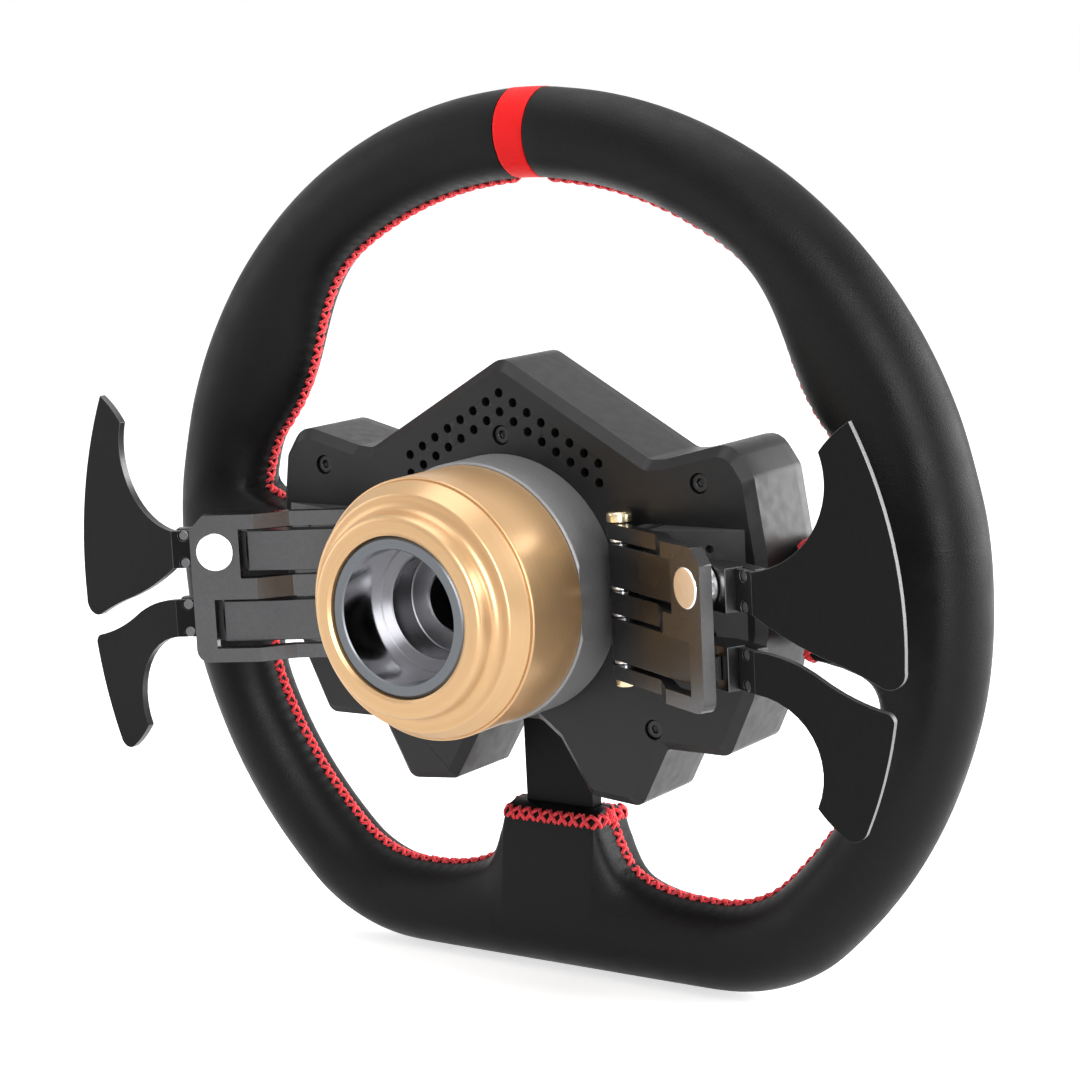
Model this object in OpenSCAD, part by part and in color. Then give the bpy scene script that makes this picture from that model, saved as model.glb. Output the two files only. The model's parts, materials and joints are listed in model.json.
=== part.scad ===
// Racing wheel: a D-shaped rim on a control housing, with four hinged paddles
// and a twist-to-release hub sleeve. Millimetres. X is to the driver's right,
// Y points rearwards to the wheel base, Z is up. The pieces are drawn from the
// point where the hub axis meets the housing's rear face; placed() then moves
// them so that the origin lies on the axis at the mouth of the socket's bore.

/* [Rim] */
// Outside diameter of the rim
rim_d = 300; // [290:1:320]
// Diameter of the wrapped grip
grip_d = 28.2; // [26:0.2:30]
// Distance of the rim's middle plane in front of the housing's rear face
rim_setback = 24.4; // [24:0.1:25]
// Height of the flat bottom below the hub axis, at the grip's middle
flat_drop = 114.2; // [112:0.2:120]
// Radius of the two lower corners, at the grip's middle
corner_r = 50; // [45:1:55]
// How far the thumb rests swell inwards
thumb_swell = 13; // [6:0.5:14]
// Width of the coloured stripe at the top
stripe_w = 10.5; // [8:0.5:16]
// Thickness of the metal rim frame
frame_t = 5; // [4:0.5:5]
// Width of the frame's ring inside the grip
frame_ring_w = 14; // [10:1:16]
// Width of each spoke of the frame
spoke_w = 25; // [20:1:28]
// Width of a leather sleeve where a spoke leaves it
sleeve_top_w = 34; // [32:1:38]

/* [Housing] */
// Depth of the rear shell
shell_depth = 26.9; // [25:0.1:29]
// Thickness of the shell's walls
wall = 3; // [2:0.5:3.5]
// Thickness of the front plate
front_t = 5; // [4:0.5:6]
// Chamfer round the rear face
shell_chamfer = 2.8; // [1.5:0.1:3]
// Diameter of a cooling hole
vent_d = 2.9; // [2:0.1:3.4]
// Sideways pitch of the cooling holes
vent_pitch = 5; // [4.5:0.1:5.2]
// Cooling holes on each slope of the upper row
vent_count = 7; // [3:1:7]

/* [Hub] */
// Diameter of the grey hub adapter
adapter_d = 80.4; // [76:0.2:82]
// Length of the hub adapter
adapter_len = 18.3; // [14:0.1:22]
// Distance between the two flats on the adapter
adapter_flats = 77.4; // [72:0.2:78]
// Diameter of the release sleeve
sleeve_d = 78.8; // [76:0.2:80]
// Length of the release sleeve
sleeve_len = 38.7; // [36:0.1:42]
// Bore of the socket that takes the wheel base's shaft
socket_bore_d = 40; // [36:0.5:41]
// Depth of that bore
socket_bore_len = 18; // [14:0.5:20]
// Outside diameter of the socket
socket_d = 48; // [47:0.2:49]
// Pitch circle of the six hub bolts
hub_pcd = 66; // [62:1:68]

/* [Paddles] */
// Sideways place of the hinge pin
pin_x = 45.6; // [45:0.1:48]
// Height of the hinge pin above the housing's rear face
pin_y = 6; // [5:0.1:8]
// Diameter of the hinge pin
pin_d = 3.2; // [2.6:0.1:3.6]
// Diameter of a hinge knuckle
knuckle_d = 7.6; // [7:0.1:8]
// Tilt of the paddle arms from the housing face
arm_tilt = 27; // [25:0.5:29]
// Travel of a paddle when it is pulled
paddle_travel = 4.5; // [3:0.5:5]
// Height of a paddle arm along the hinge
arm_h = 12.8; // [12:0.1:13.4]
// Thickness of the bracket plate
plate_t = 4; // [3:0.1:4.4]
// Diameter of the stop magnet
magnet_d = 12; // [8:0.5:12]
// Thickness of a paddle blade
blade_t = 2.2; // [1.6:0.1:2.6]
// Sideways place of the bend between an arm's plane and its blade
bend_x = 106; // [105:0.2:108]
// Lean of the blade's plane past the bend
blade_lean = 6.6; // [5:0.2:8]

/* [Controls] */
// Diameter of a push button
button_d = 12; // [9:0.5:13]
// Travel of a push button
button_travel = 1.5; // [1:0.1:1.8]
// Diameter of a rotary knob
knob_d = 17; // [14:0.5:18]
// Height of a rotary knob above the front plate
knob_h = 11; // [8:0.5:14]

/* [Hidden] */
$fn = 48;
SIDES = ["right", "left"];

// Fits and gaps
fit = 0.3;            // gap round a part that is only seated
running = 0.05;       // radial gap of a part that turns on a pin
play = 0.15;          // end play of an arm between its washers
past = 1;             // how far a cutter runs past a face

// Rim
grip_r = grip_d / 2;
rim_r = rim_d / 2 - grip_r;
rim_y = -rim_setback;
frame_rear_y = rim_y + frame_t / 2;
frame_front_y = rim_y - frame_t / 2;
spoke_z = -2;                      // side spokes lie a little below the axis
side_gap = 4.4;                    // between a side sleeve and the housing
bottom_reach = 26;                 // and the bottom one
sleeve_half = sleeve_top_w / 2;
sleeve_fillet = 22;                // length of the sleeve's foot along the rim
stripe_half = asin(stripe_w / 2 / rim_r);
thumb_angle = 30;
thumb_spread = 24;
hub_plate_r = 40;
frame_hole_r = 15;

// Housing outline at the rear face, from the apex clockwise as the driver sees it
HALF_OUTLINE = [[0, 66.3, 6], [51, 37.0, 5], [57.5, 37.6, 6], [78.6, 43.0, 7], [83.9, 35.2, 4],
    [87.4, 12, 10], [86.6, -10, 10], [81.0, -28.6, 6], [73.4, -44.6, 4], [51.9, -44.4, 2],
    [42.0, -63.2, 4], [27.2, -61.9, 2], [17.2, -45.6, 3], [9, -39.5, 4]];
shell_front_y = -shell_depth;
front_y = shell_front_y - front_t;
cavity_offset = shell_chamfer - wall;

housing_half_w = HALF_OUTLINE[5][0];
side_reach = rim_r - grip_r - housing_half_w - side_gap;

// Screws that close the housing
SCREWS = [[0, 45.9], [69.6, 34.1], [-69.6, 34.1], [50.5, -41], [-50.5, -41]];
screw_d = 3;
screw_head_d = 5.6;
screw_head_h = 2.2;
screw_sink = 0.8;
boss_d = 8;

// Hub stack
sleeve_y = adapter_len;
sleeve_end_y = sleeve_y + sleeve_len;
socket_end_y = sleeve_end_y - 1;
mouth_bevel = 0.4;
mouth_y = socket_end_y - mouth_bevel;  // where the socket's bore begins
datum_y = mouth_y;                 // the part's origin lies there, on the axis
socket_r = socket_d / 2;
mouth_r = socket_bore_d / 2;
mid_bore_r = mouth_r - 4;
mid_bore_len = 9.9;
deep_bore_r = mouth_r - 10.5;
step_y = mouth_y - socket_bore_len;
deep_step_y = step_y - mid_bore_len;
socket_screw_r = socket_r + 3.6;
socket_screw_angles = [0, 90, 180, 270];
socket_screw_len = 7;              // how deep such a screw runs into the adapter
flange_t = 4;
flange_r = socket_screw_r + 3.4;
spacer_r = 38;
spacer_bore_r = 27;
bolt_d = 5;
bolt_count = 6;
bolt_grip = 12;                    // how deep a bolt runs into the adapter
bolt_head_d = 8.5;
bolt_head_h = 3.2;
adapter_bore_r = 20;
shoulder_y = sleeve_end_y - 13;    // inner face of the sleeve's end wall
ring_t = 1.2;
ring_y = shoulder_y - fit - ring_t;
ring_bite = 1.2;                   // depth of the ring's groove in the socket
ball_d = 3;
ball_count = 12;
ball_y = sleeve_end_y - 7;
ball_r = socket_r + 0.1;           // the balls run half in the socket, half in the sleeve
race = ball_d / 2 + fit;           // half the width and depth of their race
spring_r = socket_r + 4;
spring_wire = 2;
spring_turns = 4;
sleeve_gap = 0.25;                 // between the socket and the sleeve's end wall
sleeve_inner_r = spring_r + 4.5;

// Paddle stack along the hinge, from the top down
stack_top = 22.6;
finger_top_h = 4.6;
washer_h = 1.4;
finger_mid_h = 6.6;
finger_low_h = 4.4;
washer_d = 6.4;
knuckle_r = knuckle_d / 2;
pin_head_h = 3.4;
pin_head_d = 7.8;
pin_tail_h = 2.4;
pin_tail_d = 6.4;
z_top1 = stack_top - finger_top_h;
z_arm1 = z_top1 - washer_h;
z_arm1_low = z_arm1 - arm_h;
z_mid = z_arm1_low - washer_h;
z_mid_low = z_mid - finger_mid_h;
z_arm2 = z_mid_low - washer_h;
z_arm2_low = z_arm2 - arm_h;
z_low = z_arm2_low - washer_h;
stack_low = z_low - finger_low_h;

// Bracket and arms, along (s) and above (n) the tilted line through the pin
finger_t = 3.2;
finger_n = knuckle_r;
plate_n = 8.6;
plate_low_n = plate_n - plate_t;
ramp_s = 26.5;
plate_s = 37;
plate_end_s = 57.6;
window_up_s = 42;
window_low_s = 50.9;
magnet_s = 49.8;
magnet_z = 10.9;
arm_low_n = -1.2;
arm_block_n = 1.0;
arm_end_s = 58.5;
bend_lift = -2.5;                  // height of the blade's stem above the pin line
stem_low_n = bend_lift - blade_t;
tongue_t = 3.5;
bend_s = (bend_x - pin_x) / cos(arm_tilt) + bend_lift * tan(arm_tilt);
blade_screw_s = bend_s - 4;
blade_screw_d = 2.2;
blade_head_d = 3.4;
blade_head_h = 1.2;
block_x0 = pin_x + 5;                // inner face of the base block
block_x1 = 84.4;                   // where its slope runs out on the housing
block_ridge_x = 55.6;
block_ridge_y = 10.1;
block_cut_x = 49.6;                // the cut under the arms starts here
block_cut_y = 5.2;
block_cut_deg = arm_tilt - paddle_travel - 5.4;  // clears an arm at the end of its travel
block_inset = 1.3;                 // how far the block ends short of the stack
block_hole_r = 1.2;
base_screw_x = 56.1;
screw_bite = 2.4;                  // how far a bracket screw runs into a finger

// Controls
BUTTONS = [["ear_button", 76, 24], ["inner_button", 58.5, 27], ["lower_button", 66, -33]];
KNOB = [34.5, -50.5];
button_r = button_d / 2;
button_flange = 1.4;
button_proud = 3;
board_t = 1.6;
board_y = -15;                     // rear face of the circuit board
board_front_y = board_y - board_t;
switch_h = 4;
switch_w = 6;
shaft_r = 3;
shaft_seat = 6;                    // how far a knob's shaft stands out of the front plate
encoder_w = 12;
dish_r = 39;                       // the hollow in a button's face
dish_depth = 0.4;

// ---------- helpers ----------

// Children drawn in X and Z become a plate that runs forwards from y_rear
module plate_at(y_rear, depth) {
    translate([0, y_rear, 0])
        rotate([90, 0, 0])
            linear_extrude(depth)
                children();
}

// From the drawing's origin on the housing to the part's origin on the socket
module placed() {
    translate([0, -datum_y, 0])
        children();
}

// Straight round bar along Y
module bar_y(r, y0, y1, x = 0, z = 0) {
    translate([x, y1, z])
        rotate([90, 0, 0])
            cylinder(r = r, h = y1 - y0);
}

// Profile of [radius, y] pairs turned about the hub axis
module turned(profile) {
    rotate([-90, 0, 0])
        rotate_extrude($fn = 96)
            polygon(profile);
}

// Children in the paddle's own axes: x along the arm, y off its face
module on_pin() {
    translate([pin_x, pin_y, 0])
        rotate([0, 0, arm_tilt])
            children();
}

// Upright prism of a plan drawn in the paddle's axes
module upright(z0, z1) {
    translate([0, 0, z0])
        linear_extrude(z1 - z0)
            children();
}

// One side of the wheel as drawn, the other mirrored
module on_side(side) {
    if (side == "right") children();
    else mirror([1, 0, 0]) children();
}

function unit(v) = v / norm(v);

// Corners of a closed outline [x, y, radius], moved out by d
function moved(pts, d) = [for (i = [0 : len(pts) - 1])
    let (n = len(pts), p = pts[i], a = pts[(i + n - 1) % n], b = pts[(i + 1) % n],
         u = unit([p[0] - a[0], p[1] - a[1]]), v = unit([b[0] - p[0], b[1] - p[1]]),
         m = unit([-u[1] - v[1], u[0] + v[0]]), c = -m[0] * u[1] + m[1] * u[0])
    [p[0] + m[0] * d / c, p[1] + m[1] * d / c, p[2]]];

// The same outline with each corner rounded by an arc
function rounded(pts, steps = 4) = [for (i = [0 : len(pts) - 1])
    let (n = len(pts), p = [pts[i][0], pts[i][1]], a = pts[(i + n - 1) % n], b = pts[(i + 1) % n],
         u = unit([a[0], a[1]] - p), v = unit([b[0], b[1]] - p),
         half = acos(max(-1, min(1, u * v))) / 2,
         cut = min(pts[i][2] / tan(half), 0.45 * norm([a[0], a[1]] - p), 0.45 * norm([b[0], b[1]] - p)),
         r = cut * tan(half), mid = p + unit(u + v) * r / sin(half),
         t0 = p + u * cut - mid, t1 = p + v * cut - mid,
         a0 = atan2(t0[1], t0[0]), turn = atan2(t1[1], t1[0]) - a0,
         sweep = turn > 180 ? turn - 360 : turn < -180 ? turn + 360 : turn)
    for (k = [0 : steps]) mid + r * [cos(a0 + sweep * k / steps), sin(a0 + sweep * k / steps)]];

// Points of an arc from a to b that bows out by sag to the left of a-b
function bow(a, b, sag, steps = 8) =
    abs(sag) < 0.01 ? [a] :
    let (chord = norm(b - a), r = (chord * chord / 4 + sag * sag) / (2 * sag),
         dir = unit(b - a), side = [-dir[1], dir[0]], mid = (a + b) / 2 + side * (sag - r),
         a0 = atan2(a[1] - mid[1], a[0] - mid[0]), turn = atan2(b[1] - mid[1], b[0] - mid[0]) - a0,
         sweep = turn > 180 ? turn - 360 : turn < -180 ? turn + 360 : turn)
    [for (k = [0 : steps - 1]) mid + abs(r) * [cos(a0 + sweep * k / steps), sin(a0 + sweep * k / steps)]];

// Triangles of the strip between loop k and loop k + 1, each of n points
function strip(n, k) = [for (i = [0 : n - 1])
    let (a = k * n + i, b = k * n + (i + 1) % n)
    each [[a, b, b + n], [a, b + n, a + n]]];

// Solid through a stack of loops of equal length
module stacked(loops) {
    n = len(loops[0]);
    m = len(loops);
    polyhedron(
        points = [for (loop = loops) each loop],
        faces = concat(
            [for (k = [0 : m - 2]) each strip(n, k)],
            [[for (i = [n - 1 : -1 : 0]) i], [for (i = [0 : n - 1]) (m - 1) * n + i]]));
}

// ---------- rim ----------

// Right half of the rim's middle line: [x, z, inward normal x, z]
function arc_station(a) = [rim_r * cos(a), rim_r * sin(a), -cos(a), -sin(a)];
corner_x = sqrt(pow(rim_r - corner_r, 2) - pow(flat_drop - corner_r, 2));
corner_z = corner_r - flat_drop;
corner_a = atan2(corner_z, corner_x);
function corner_station(a) = [corner_x + corner_r * cos(a), corner_z + corner_r * sin(a), -cos(a), -sin(a)];
function flat_station(x) = [x, -flat_drop, 0, 1];
// Station d above a side spoke; its normal lies along the spoke within the sleeve
function side_station(d) = let (a = asin((spoke_z + d) / rim_r),
    t = max(0, min(1, (abs(d) - sleeve_half) / FOOT[0])))
    [rim_r * cos(a), rim_r * sin(a), -cos(a * t), -sin(a * t)];
slot_half = spoke_w / 2 + 0.3;
FOOT = [10, 5.5, 3, 1.4, 0.4];
HALF_STATIONS = concat(
    [for (k = [0 : 4]) arc_station(90 - stripe_half - k * (90 - stripe_half - 58) / 5)],
    [for (a = [58 : -4 : 18]) arc_station(a)],
    [for (f = FOOT) side_station(sleeve_half + f)],
    [for (d = [sleeve_half, slot_half, 0, -slot_half, -sleeve_half]) side_station(d)],
    [for (i = [len(FOOT) - 1 : -1 : 0]) side_station(-sleeve_half - FOOT[i])],
    [for (k = [0 : 3]) arc_station(-17 + k * (corner_a + 17) / 4)],
    [for (k = [0 : 5]) corner_station(corner_a + k * (-90 - corner_a) / 6)],
    [for (x = [corner_x, (corner_x + sleeve_half + FOOT[0]) / 2]) flat_station(x)],
    [for (f = FOOT) flat_station(sleeve_half + f)],
    [for (x = [sleeve_half, slot_half]) flat_station(x)]);
function flipped(s) = [-s[0], s[1], -s[2], s[3]];
STATIONS = concat(HALF_STATIONS, [flat_station(0)],
    [for (i = [len(HALF_STATIONS) - 1 : -1 : 0]) flipped(HALF_STATIONS[i])]);

// How far a leather sleeve stands in, d off the spoke's middle
function foot(d, reach) = d <= sleeve_half + 0.01 ? reach :
    reach * pow(max(0, 1 - (d - sleeve_half) / sleeve_fillet), 3);
function sleeve_in(s) = s[1] < -0.99 * flat_drop ? foot(abs(s[0]), bottom_reach) :
    foot(abs(s[1] - spoke_z), side_reach);
// How far the thumb rest swells in
function swell_in(s) = let (a = abs(atan2(s[1], abs(s[0])) - thumb_angle))
    a > thumb_spread ? 0 : thumb_swell * (0.5 + 0.5 * cos(180 * a / thumb_spread));

// Angles round the grip's section from the inner side; the first pair frames a spoke
slot_angle = asin((frame_t / 2 + 0.1) / grip_r);
HALF_SECTION = [slot_angle, 27, 45, 65, 90, 115, 142, 180 - slot_angle];
SECTION = concat(HALF_SECTION, [for (i = [len(HALF_SECTION) - 1 : -1 : 0]) -HALF_SECTION[i]]);
function sleeve_share(a) = abs(a) < 46 ? 1 : abs(a) < 66 ? 0.3 : 0;
function at_station(s, inward, y) = [s[0] + s[2] * inward, rim_y + y, s[1] + s[3] * inward];
function skin_loop(s) = [for (a = SECTION)
    at_station(s, (grip_r + (abs(a) < 90 ? swell_in(s) : 0)) * cos(a) + sleeve_in(s) * sleeve_share(a),
        grip_r * sin(a))];
bed_half_w = frame_ring_w / 2 + 0.2;
bed_half_t = frame_t / 2 + 0.1;
function bed_loop(s) = [for (a = SECTION)
    at_station(s, bed_half_w * cos(a) / cos(slot_angle), sign(a) * bed_half_t)];

// Wrapped tube over a run of stations, hollow for the frame, with a slot where slotted(k)
module wrapped(run, slots) {
    n = len(SECTION);
    m = len(run);
    gap = n - 1;
    function skin(k, i) = k * n + i % n;
    function bed(k, i) = m * n + k * n + i % n;
    function open(k, i) = i == gap && k >= 0 && k < m - 1 && slots[k];
    function quad(a, b, c, d) = [[a, b, c], [a, c, d]];
    polyhedron(
        points = concat([for (s = run) each skin_loop(s)], [for (s = run) each bed_loop(s)]),
        faces = concat(
            [for (k = [0 : m - 2]) for (i = [0 : n - 1]) if (!open(k, i))
                each quad(skin(k, i), skin(k + 1, i), skin(k + 1, i + 1), skin(k, i + 1))],
            [for (k = [0 : m - 2]) for (i = [0 : n - 1]) if (!open(k, i))
                each quad(bed(k, i), bed(k, i + 1), bed(k + 1, i + 1), bed(k + 1, i))],
            [for (k = [0 : m - 2]) if (open(k, gap))
                each concat(quad(skin(k, gap), skin(k + 1, gap), bed(k + 1, gap), bed(k, gap)),
                    quad(skin(k + 1, 0), skin(k, 0), bed(k, 0), bed(k + 1, 0)))],
            [for (k = [0 : m - 2]) if (open(k, gap) && !open(k - 1, gap))
                each quad(skin(k, gap), bed(k, gap), bed(k, 0), skin(k, 0))],
            [for (k = [0 : m - 2]) if (open(k, gap) && !open(k + 1, gap))
                each quad(skin(k + 1, 0), bed(k + 1, 0), bed(k + 1, gap), skin(k + 1, gap))],
            [for (i = [0 : n - 1]) each quad(skin(0, i), skin(0, i + 1), bed(0, i + 1), bed(0, i))],
            [for (i = [0 : n - 1])
                each quad(skin(m - 1, i + 1), skin(m - 1, i), bed(m - 1, i), bed(m - 1, i + 1))]));
}

function near_spoke(s) =
    min(abs(s[1] - spoke_z), s[1] < -0.99 * flat_drop ? abs(s[0]) : rim_d) < slot_half + 0.01;

module rim_grip() {
    color("#222222")
        wrapped(STATIONS, [for (k = [0 : len(STATIONS) - 2])
            near_spoke(STATIONS[k]) && near_spoke(STATIONS[k + 1])]);
}

module centre_stripe() {
    run = [for (k = [0 : 4]) arc_station(90 + stripe_half - k * stripe_half / 2)];
    color("#e8232a")
        wrapped(run, [for (k = run) false]);
}

// Outline of the frame's ring, off to the rim's middle line by d
function ring_outline(d) = [for (s = STATIONS) [s[0] - s[2] * d, s[1] - s[3] * d]];

module rim_frame() {
    color("#2b2b2d")
        difference() {
            union() {
                difference() {
                    plate_at(frame_rear_y, frame_t)
                        polygon(ring_outline(frame_ring_w / 2));
                    plate_at(frame_rear_y + past, frame_t + 2 * past)
                        polygon(ring_outline(-frame_ring_w / 2));
                }
                bar_y(hub_plate_r, frame_front_y, frame_rear_y);
                translate([-rim_r, frame_front_y, spoke_z - spoke_w / 2])
                    cube([2 * rim_r, frame_t, spoke_w]);
                translate([-spoke_w / 2, frame_front_y, -flat_drop])
                    cube([spoke_w, frame_t, flat_drop]);
            }
            hub_bolt_holes(bolt_d / 2 + 0.2, frame_front_y - past, frame_rear_y + past);
            bar_y(frame_hole_r, frame_front_y - past, frame_rear_y + past);
        }
}

// ---------- housing ----------

function flip_x(p) = [-p[0], p[1], p[2]];
OUTLINE = concat(
    [for (i = [len(HALF_OUTLINE) - 1 : -1 : 1]) HALF_OUTLINE[i]],
    [HALF_OUTLINE[0]],
    [for (i = [1 : len(HALF_OUTLINE) - 1]) flip_x(HALF_OUTLINE[i])]);
function outline(d) = rounded(moved(OUTLINE, -d));
function outline_at(d, y) = [for (p = outline(d)) [p[0], y, p[1]]];

module rear_housing() {
    color("#232325")
        difference() {
            union() {
                difference() {
                    stacked([outline_at(shell_chamfer, shell_front_y), outline_at(shell_chamfer, -shell_chamfer),
                        outline_at(0, 0)]);
                    plate_at(-wall, shell_depth)
                        polygon(outline(cavity_offset));
                }
                // posts for the closing screws and the circuit board
                intersection() {
                    for (p = SCREWS)
                        bar_y(boss_d / 2, shell_front_y, -wall, p[0], p[1]);
                    plate_at(-wall + 0.5, shell_depth)
                        polygon(outline(0));
                }
            }
            for (p = SCREWS) {
                bar_y(screw_d / 2 + 0.1, shell_front_y - past, past, p[0], p[1]);
                bar_y(screw_head_d / 2 + fit, -screw_head_h - screw_sink, past, p[0], p[1]);
            }
            vents();
            for (side = SIDES)
                on_side(side)
                    for (z = base_screw_z)
                        bar_y(screw_d / 2 + 0.1, -wall - past, past, base_screw_x, z);
            hub_bolt_holes(bolt_d / 2 + 0.2, -wall - past, past);
            bar_y(adapter_bore_r, -wall - past, past);
            // slots in the side walls for the three spokes
            translate([-rim_r, frame_front_y - past, spoke_z - spoke_w / 2 - 0.2])
                cube([2 * rim_r, frame_t + 0.1 + past, spoke_w + 0.4]);
            translate([-spoke_w / 2 - 0.2, frame_front_y - past, -flat_drop])
                cube([spoke_w + 0.4, frame_t + 0.1 + past, flat_drop]);
        }
}

// Two rows of cooling holes that follow the roof
module vents() {
    for (row = [[58.8, vent_count], [53, vent_count]])
        for (k = [-row[1] : row[1]])
            bar_y(vent_d / 2, -wall - past, past, k * vent_pitch, row[0] - abs(k) * vent_pitch * tan(30));
}

module front_plate() {
    color("#26272a")
        difference() {
            stacked([outline_at(shell_chamfer - 1.5, front_y), outline_at(shell_chamfer, front_y + 1.5),
                outline_at(shell_chamfer, shell_front_y)]);
            for (p = SCREWS)
                bar_y(screw_d / 2, shell_front_y - front_t + 1, shell_front_y + past, p[0], p[1]);
            for (side = SIDES)
                on_side(side) {
                    for (b = BUTTONS)
                        bar_y(button_r + fit, front_y - past, shell_front_y + past, b[1], b[2]);
                    bar_y(shaft_r + fit, front_y - past, shell_front_y + past, KNOB[0], KNOB[1]);
                }
            hub_bolt_holes(bolt_head_d / 2 + fit, frame_front_y - bolt_head_h - fit, frame_front_y + past);
        }
}

module housing_screws() {
    color("#1b1b1c")
        for (p = SCREWS)
            screw_y(screw_d / 2, -screw_sink, screw_head_d / 2, screw_head_h,
                -shell_depth - front_t + 2 - (-screw_sink - screw_head_h), p);
}

// Countersunk-style screw with a hex socket, head outwards at y, running forwards
module screw_y(r, y, head_r, head_h, len_y, p) {
    difference() {
        union() {
            bar_y(head_r, y - head_h, y, p[0], p[1]);
            bar_y(r, y - head_h + len_y, y - head_h, p[0], p[1]);
        }
        translate([p[0], y + past, p[1]])
            rotate([90, 0, 0])
                cylinder(r = head_r * 0.5, h = past + head_h * 0.6, $fn = 6);
    }
}

// ---------- hub ----------

module hub_bolt_holes(r, y0, y1) {
    for (k = [0 : bolt_count - 1])
        let (a = 30 + k * 360 / bolt_count)
            bar_y(r, y0, y1, hub_pcd / 2 * cos(a), hub_pcd / 2 * sin(a));
}

module hub_spacer() {
    color("#8d8f93")
        difference() {
            bar_y(spacer_r, frame_rear_y, -wall);
            bar_y(spacer_bore_r, frame_rear_y - past, -wall + past);
            hub_bolt_holes(bolt_d / 2 + 0.2, frame_rear_y - past, -wall + past);
        }
}

module hub_bolts() {
    color("#3a3a3c")
        for (k = [0 : bolt_count - 1])
            let (a = 30 + k * 360 / bolt_count, x = hub_pcd / 2 * cos(a), z = hub_pcd / 2 * sin(a))
                difference() {
                    union() {
                        bar_y(bolt_head_d / 2, frame_front_y - bolt_head_h, frame_front_y, x, z);
                        bar_y(bolt_d / 2, frame_front_y, bolt_grip, x, z);
                    }
                    translate([x, frame_front_y - bolt_head_h + 2, z])
                        rotate([90, 0, 0])
                            cylinder(r = 2.3, h = 2 + past, $fn = 6);
                }
}

module hub_adapter() {
    color("#6f6f72")
        difference() {
            intersection() {
                turned([[adapter_bore_r, 0], [adapter_d / 2, 0], [adapter_d / 2, adapter_len - 0.6],
                    [adapter_d / 2 - 0.6, adapter_len], [adapter_bore_r, adapter_len]]);
                translate([-adapter_flats / 2, -past, -adapter_d])
                    cube([adapter_flats, adapter_len + 2 * past, 2 * adapter_d]);
            }
            hub_bolt_holes(bolt_d / 2, -past, bolt_grip + fit);
            for (a = socket_screw_angles)
                bar_y(screw_d / 2, adapter_len - socket_screw_len - 1, adapter_len + past,
                    socket_screw_r * cos(a), socket_screw_r * sin(a));
        }
}

module qr_socket() {
    groove_r = socket_r - ring_bite;
    lip_bevel = 0.9;
    color("#77787c")
        difference() {
            turned([[deep_bore_r, sleeve_y], [flange_r, sleeve_y], [flange_r, sleeve_y + flange_t],
                [socket_r, sleeve_y + flange_t], [socket_r, ring_y - 0.1],
                [groove_r, ring_y - 0.1], [groove_r, ring_y + ring_t + 0.1],
                [socket_r, ring_y + ring_t + 0.1], [socket_r, ball_y - race],
                [ball_r - race, ball_y - race], [ball_r - race, ball_y + race],
                [socket_r, ball_y + race], [socket_r, socket_end_y - lip_bevel],
                [socket_r - lip_bevel, socket_end_y], [mouth_r + mouth_bevel, socket_end_y],
                [mouth_r, mouth_y], [mouth_r, step_y], [mid_bore_r, step_y],
                [mid_bore_r, deep_step_y], [deep_bore_r, deep_step_y]]);
            for (a = socket_screw_angles)
                bar_y(screw_d / 2 + 0.1, sleeve_y - past, sleeve_y + flange_t + past,
                    socket_screw_r * cos(a), socket_screw_r * sin(a));
        }
}

module socket_screws() {
    color("#2e2e30")
        for (a = socket_screw_angles)
            screw_y(screw_d / 2, sleeve_y + flange_t + 2, 2.7, 2, -(flange_t + socket_screw_len),
                [socket_screw_r * cos(a), socket_screw_r * sin(a)]);
}

// The sleeve's end steps in from its rim to its lip in shares of the end wall's width
module release_sleeve() {
    r = sleeve_d / 2;
    e = sleeve_end_y;
    bore = socket_r + sleeve_gap;
    w = (r - bore) / 15;
    color("#c79a4b")
        turned(concat(
            [[sleeve_inner_r, sleeve_y + 0.1], [r - 0.3, sleeve_y + 0.1], [r, sleeve_y + 0.4],
             [r, e - 16], [r - w, e - 15], [r - 2 * w, e - 14.8]],
            [for (a = [0 : 15 : 90]) [r - (4 - 2 * cos(a)) * w, e - 11.4 + 2 * sin(a)]],
            [for (a = [0 : 15 : 75]) [r - (5.8 + 3 * sin(a)) * w, e - 5.6 - 3.4 * cos(a)]],
            [[r - 9 * w, e - 2]],
            [for (a = [15 : 15 : 90]) [r - (11 - 2 * cos(a)) * w, e - 2 + 2 * sin(a)]],
            [[bore + 0.6, e], [bore, e - 0.6], [bore, ball_y + race], [ball_r + race, ball_y + race],
             [ball_r + race, ball_y - race], [bore, ball_y - race], [bore, shoulder_y],
             [sleeve_inner_r, shoulder_y]]));
}

module retaining_ring() {
    color("#4b4b4e")
        difference() {
            turned([[socket_r - ring_bite + 0.1, ring_y], [spring_r, ring_y],
                [spring_r, ring_y + ring_t], [socket_r - ring_bite + 0.1, ring_y + ring_t]]);
            translate([-2, ring_y - past, 0])
                cube([4, ring_t + 2 * past, socket_d]);
        }
}

module lock_balls() {
    color("#c9cbd0")
        for (k = [0 : ball_count - 1])
            rotate([0, k * 360 / ball_count, 0])
                translate([ball_r, ball_y, 0])
                    sphere(d = ball_d);
}

module sleeve_spring() {
    steps = 20;
    sides = 6;
    y0 = sleeve_y + flange_t + spring_wire / 2 + 2.3;
    rise = (ring_y - fit - spring_wire / 2 - y0) / (spring_turns * steps);
    color("#b8bac0")
        stacked([for (k = [0 : spring_turns * steps])
            let (a = -k * 360 / steps)
            [for (i = [0 : sides - 1])
                let (b = i * 360 / sides, rr = spring_r + spring_wire / 2 * cos(b))
                [rr * cos(a), y0 + k * rise + spring_wire / 2 * sin(b), rr * sin(a)]]]);
}

// ---------- electronics ----------

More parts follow.
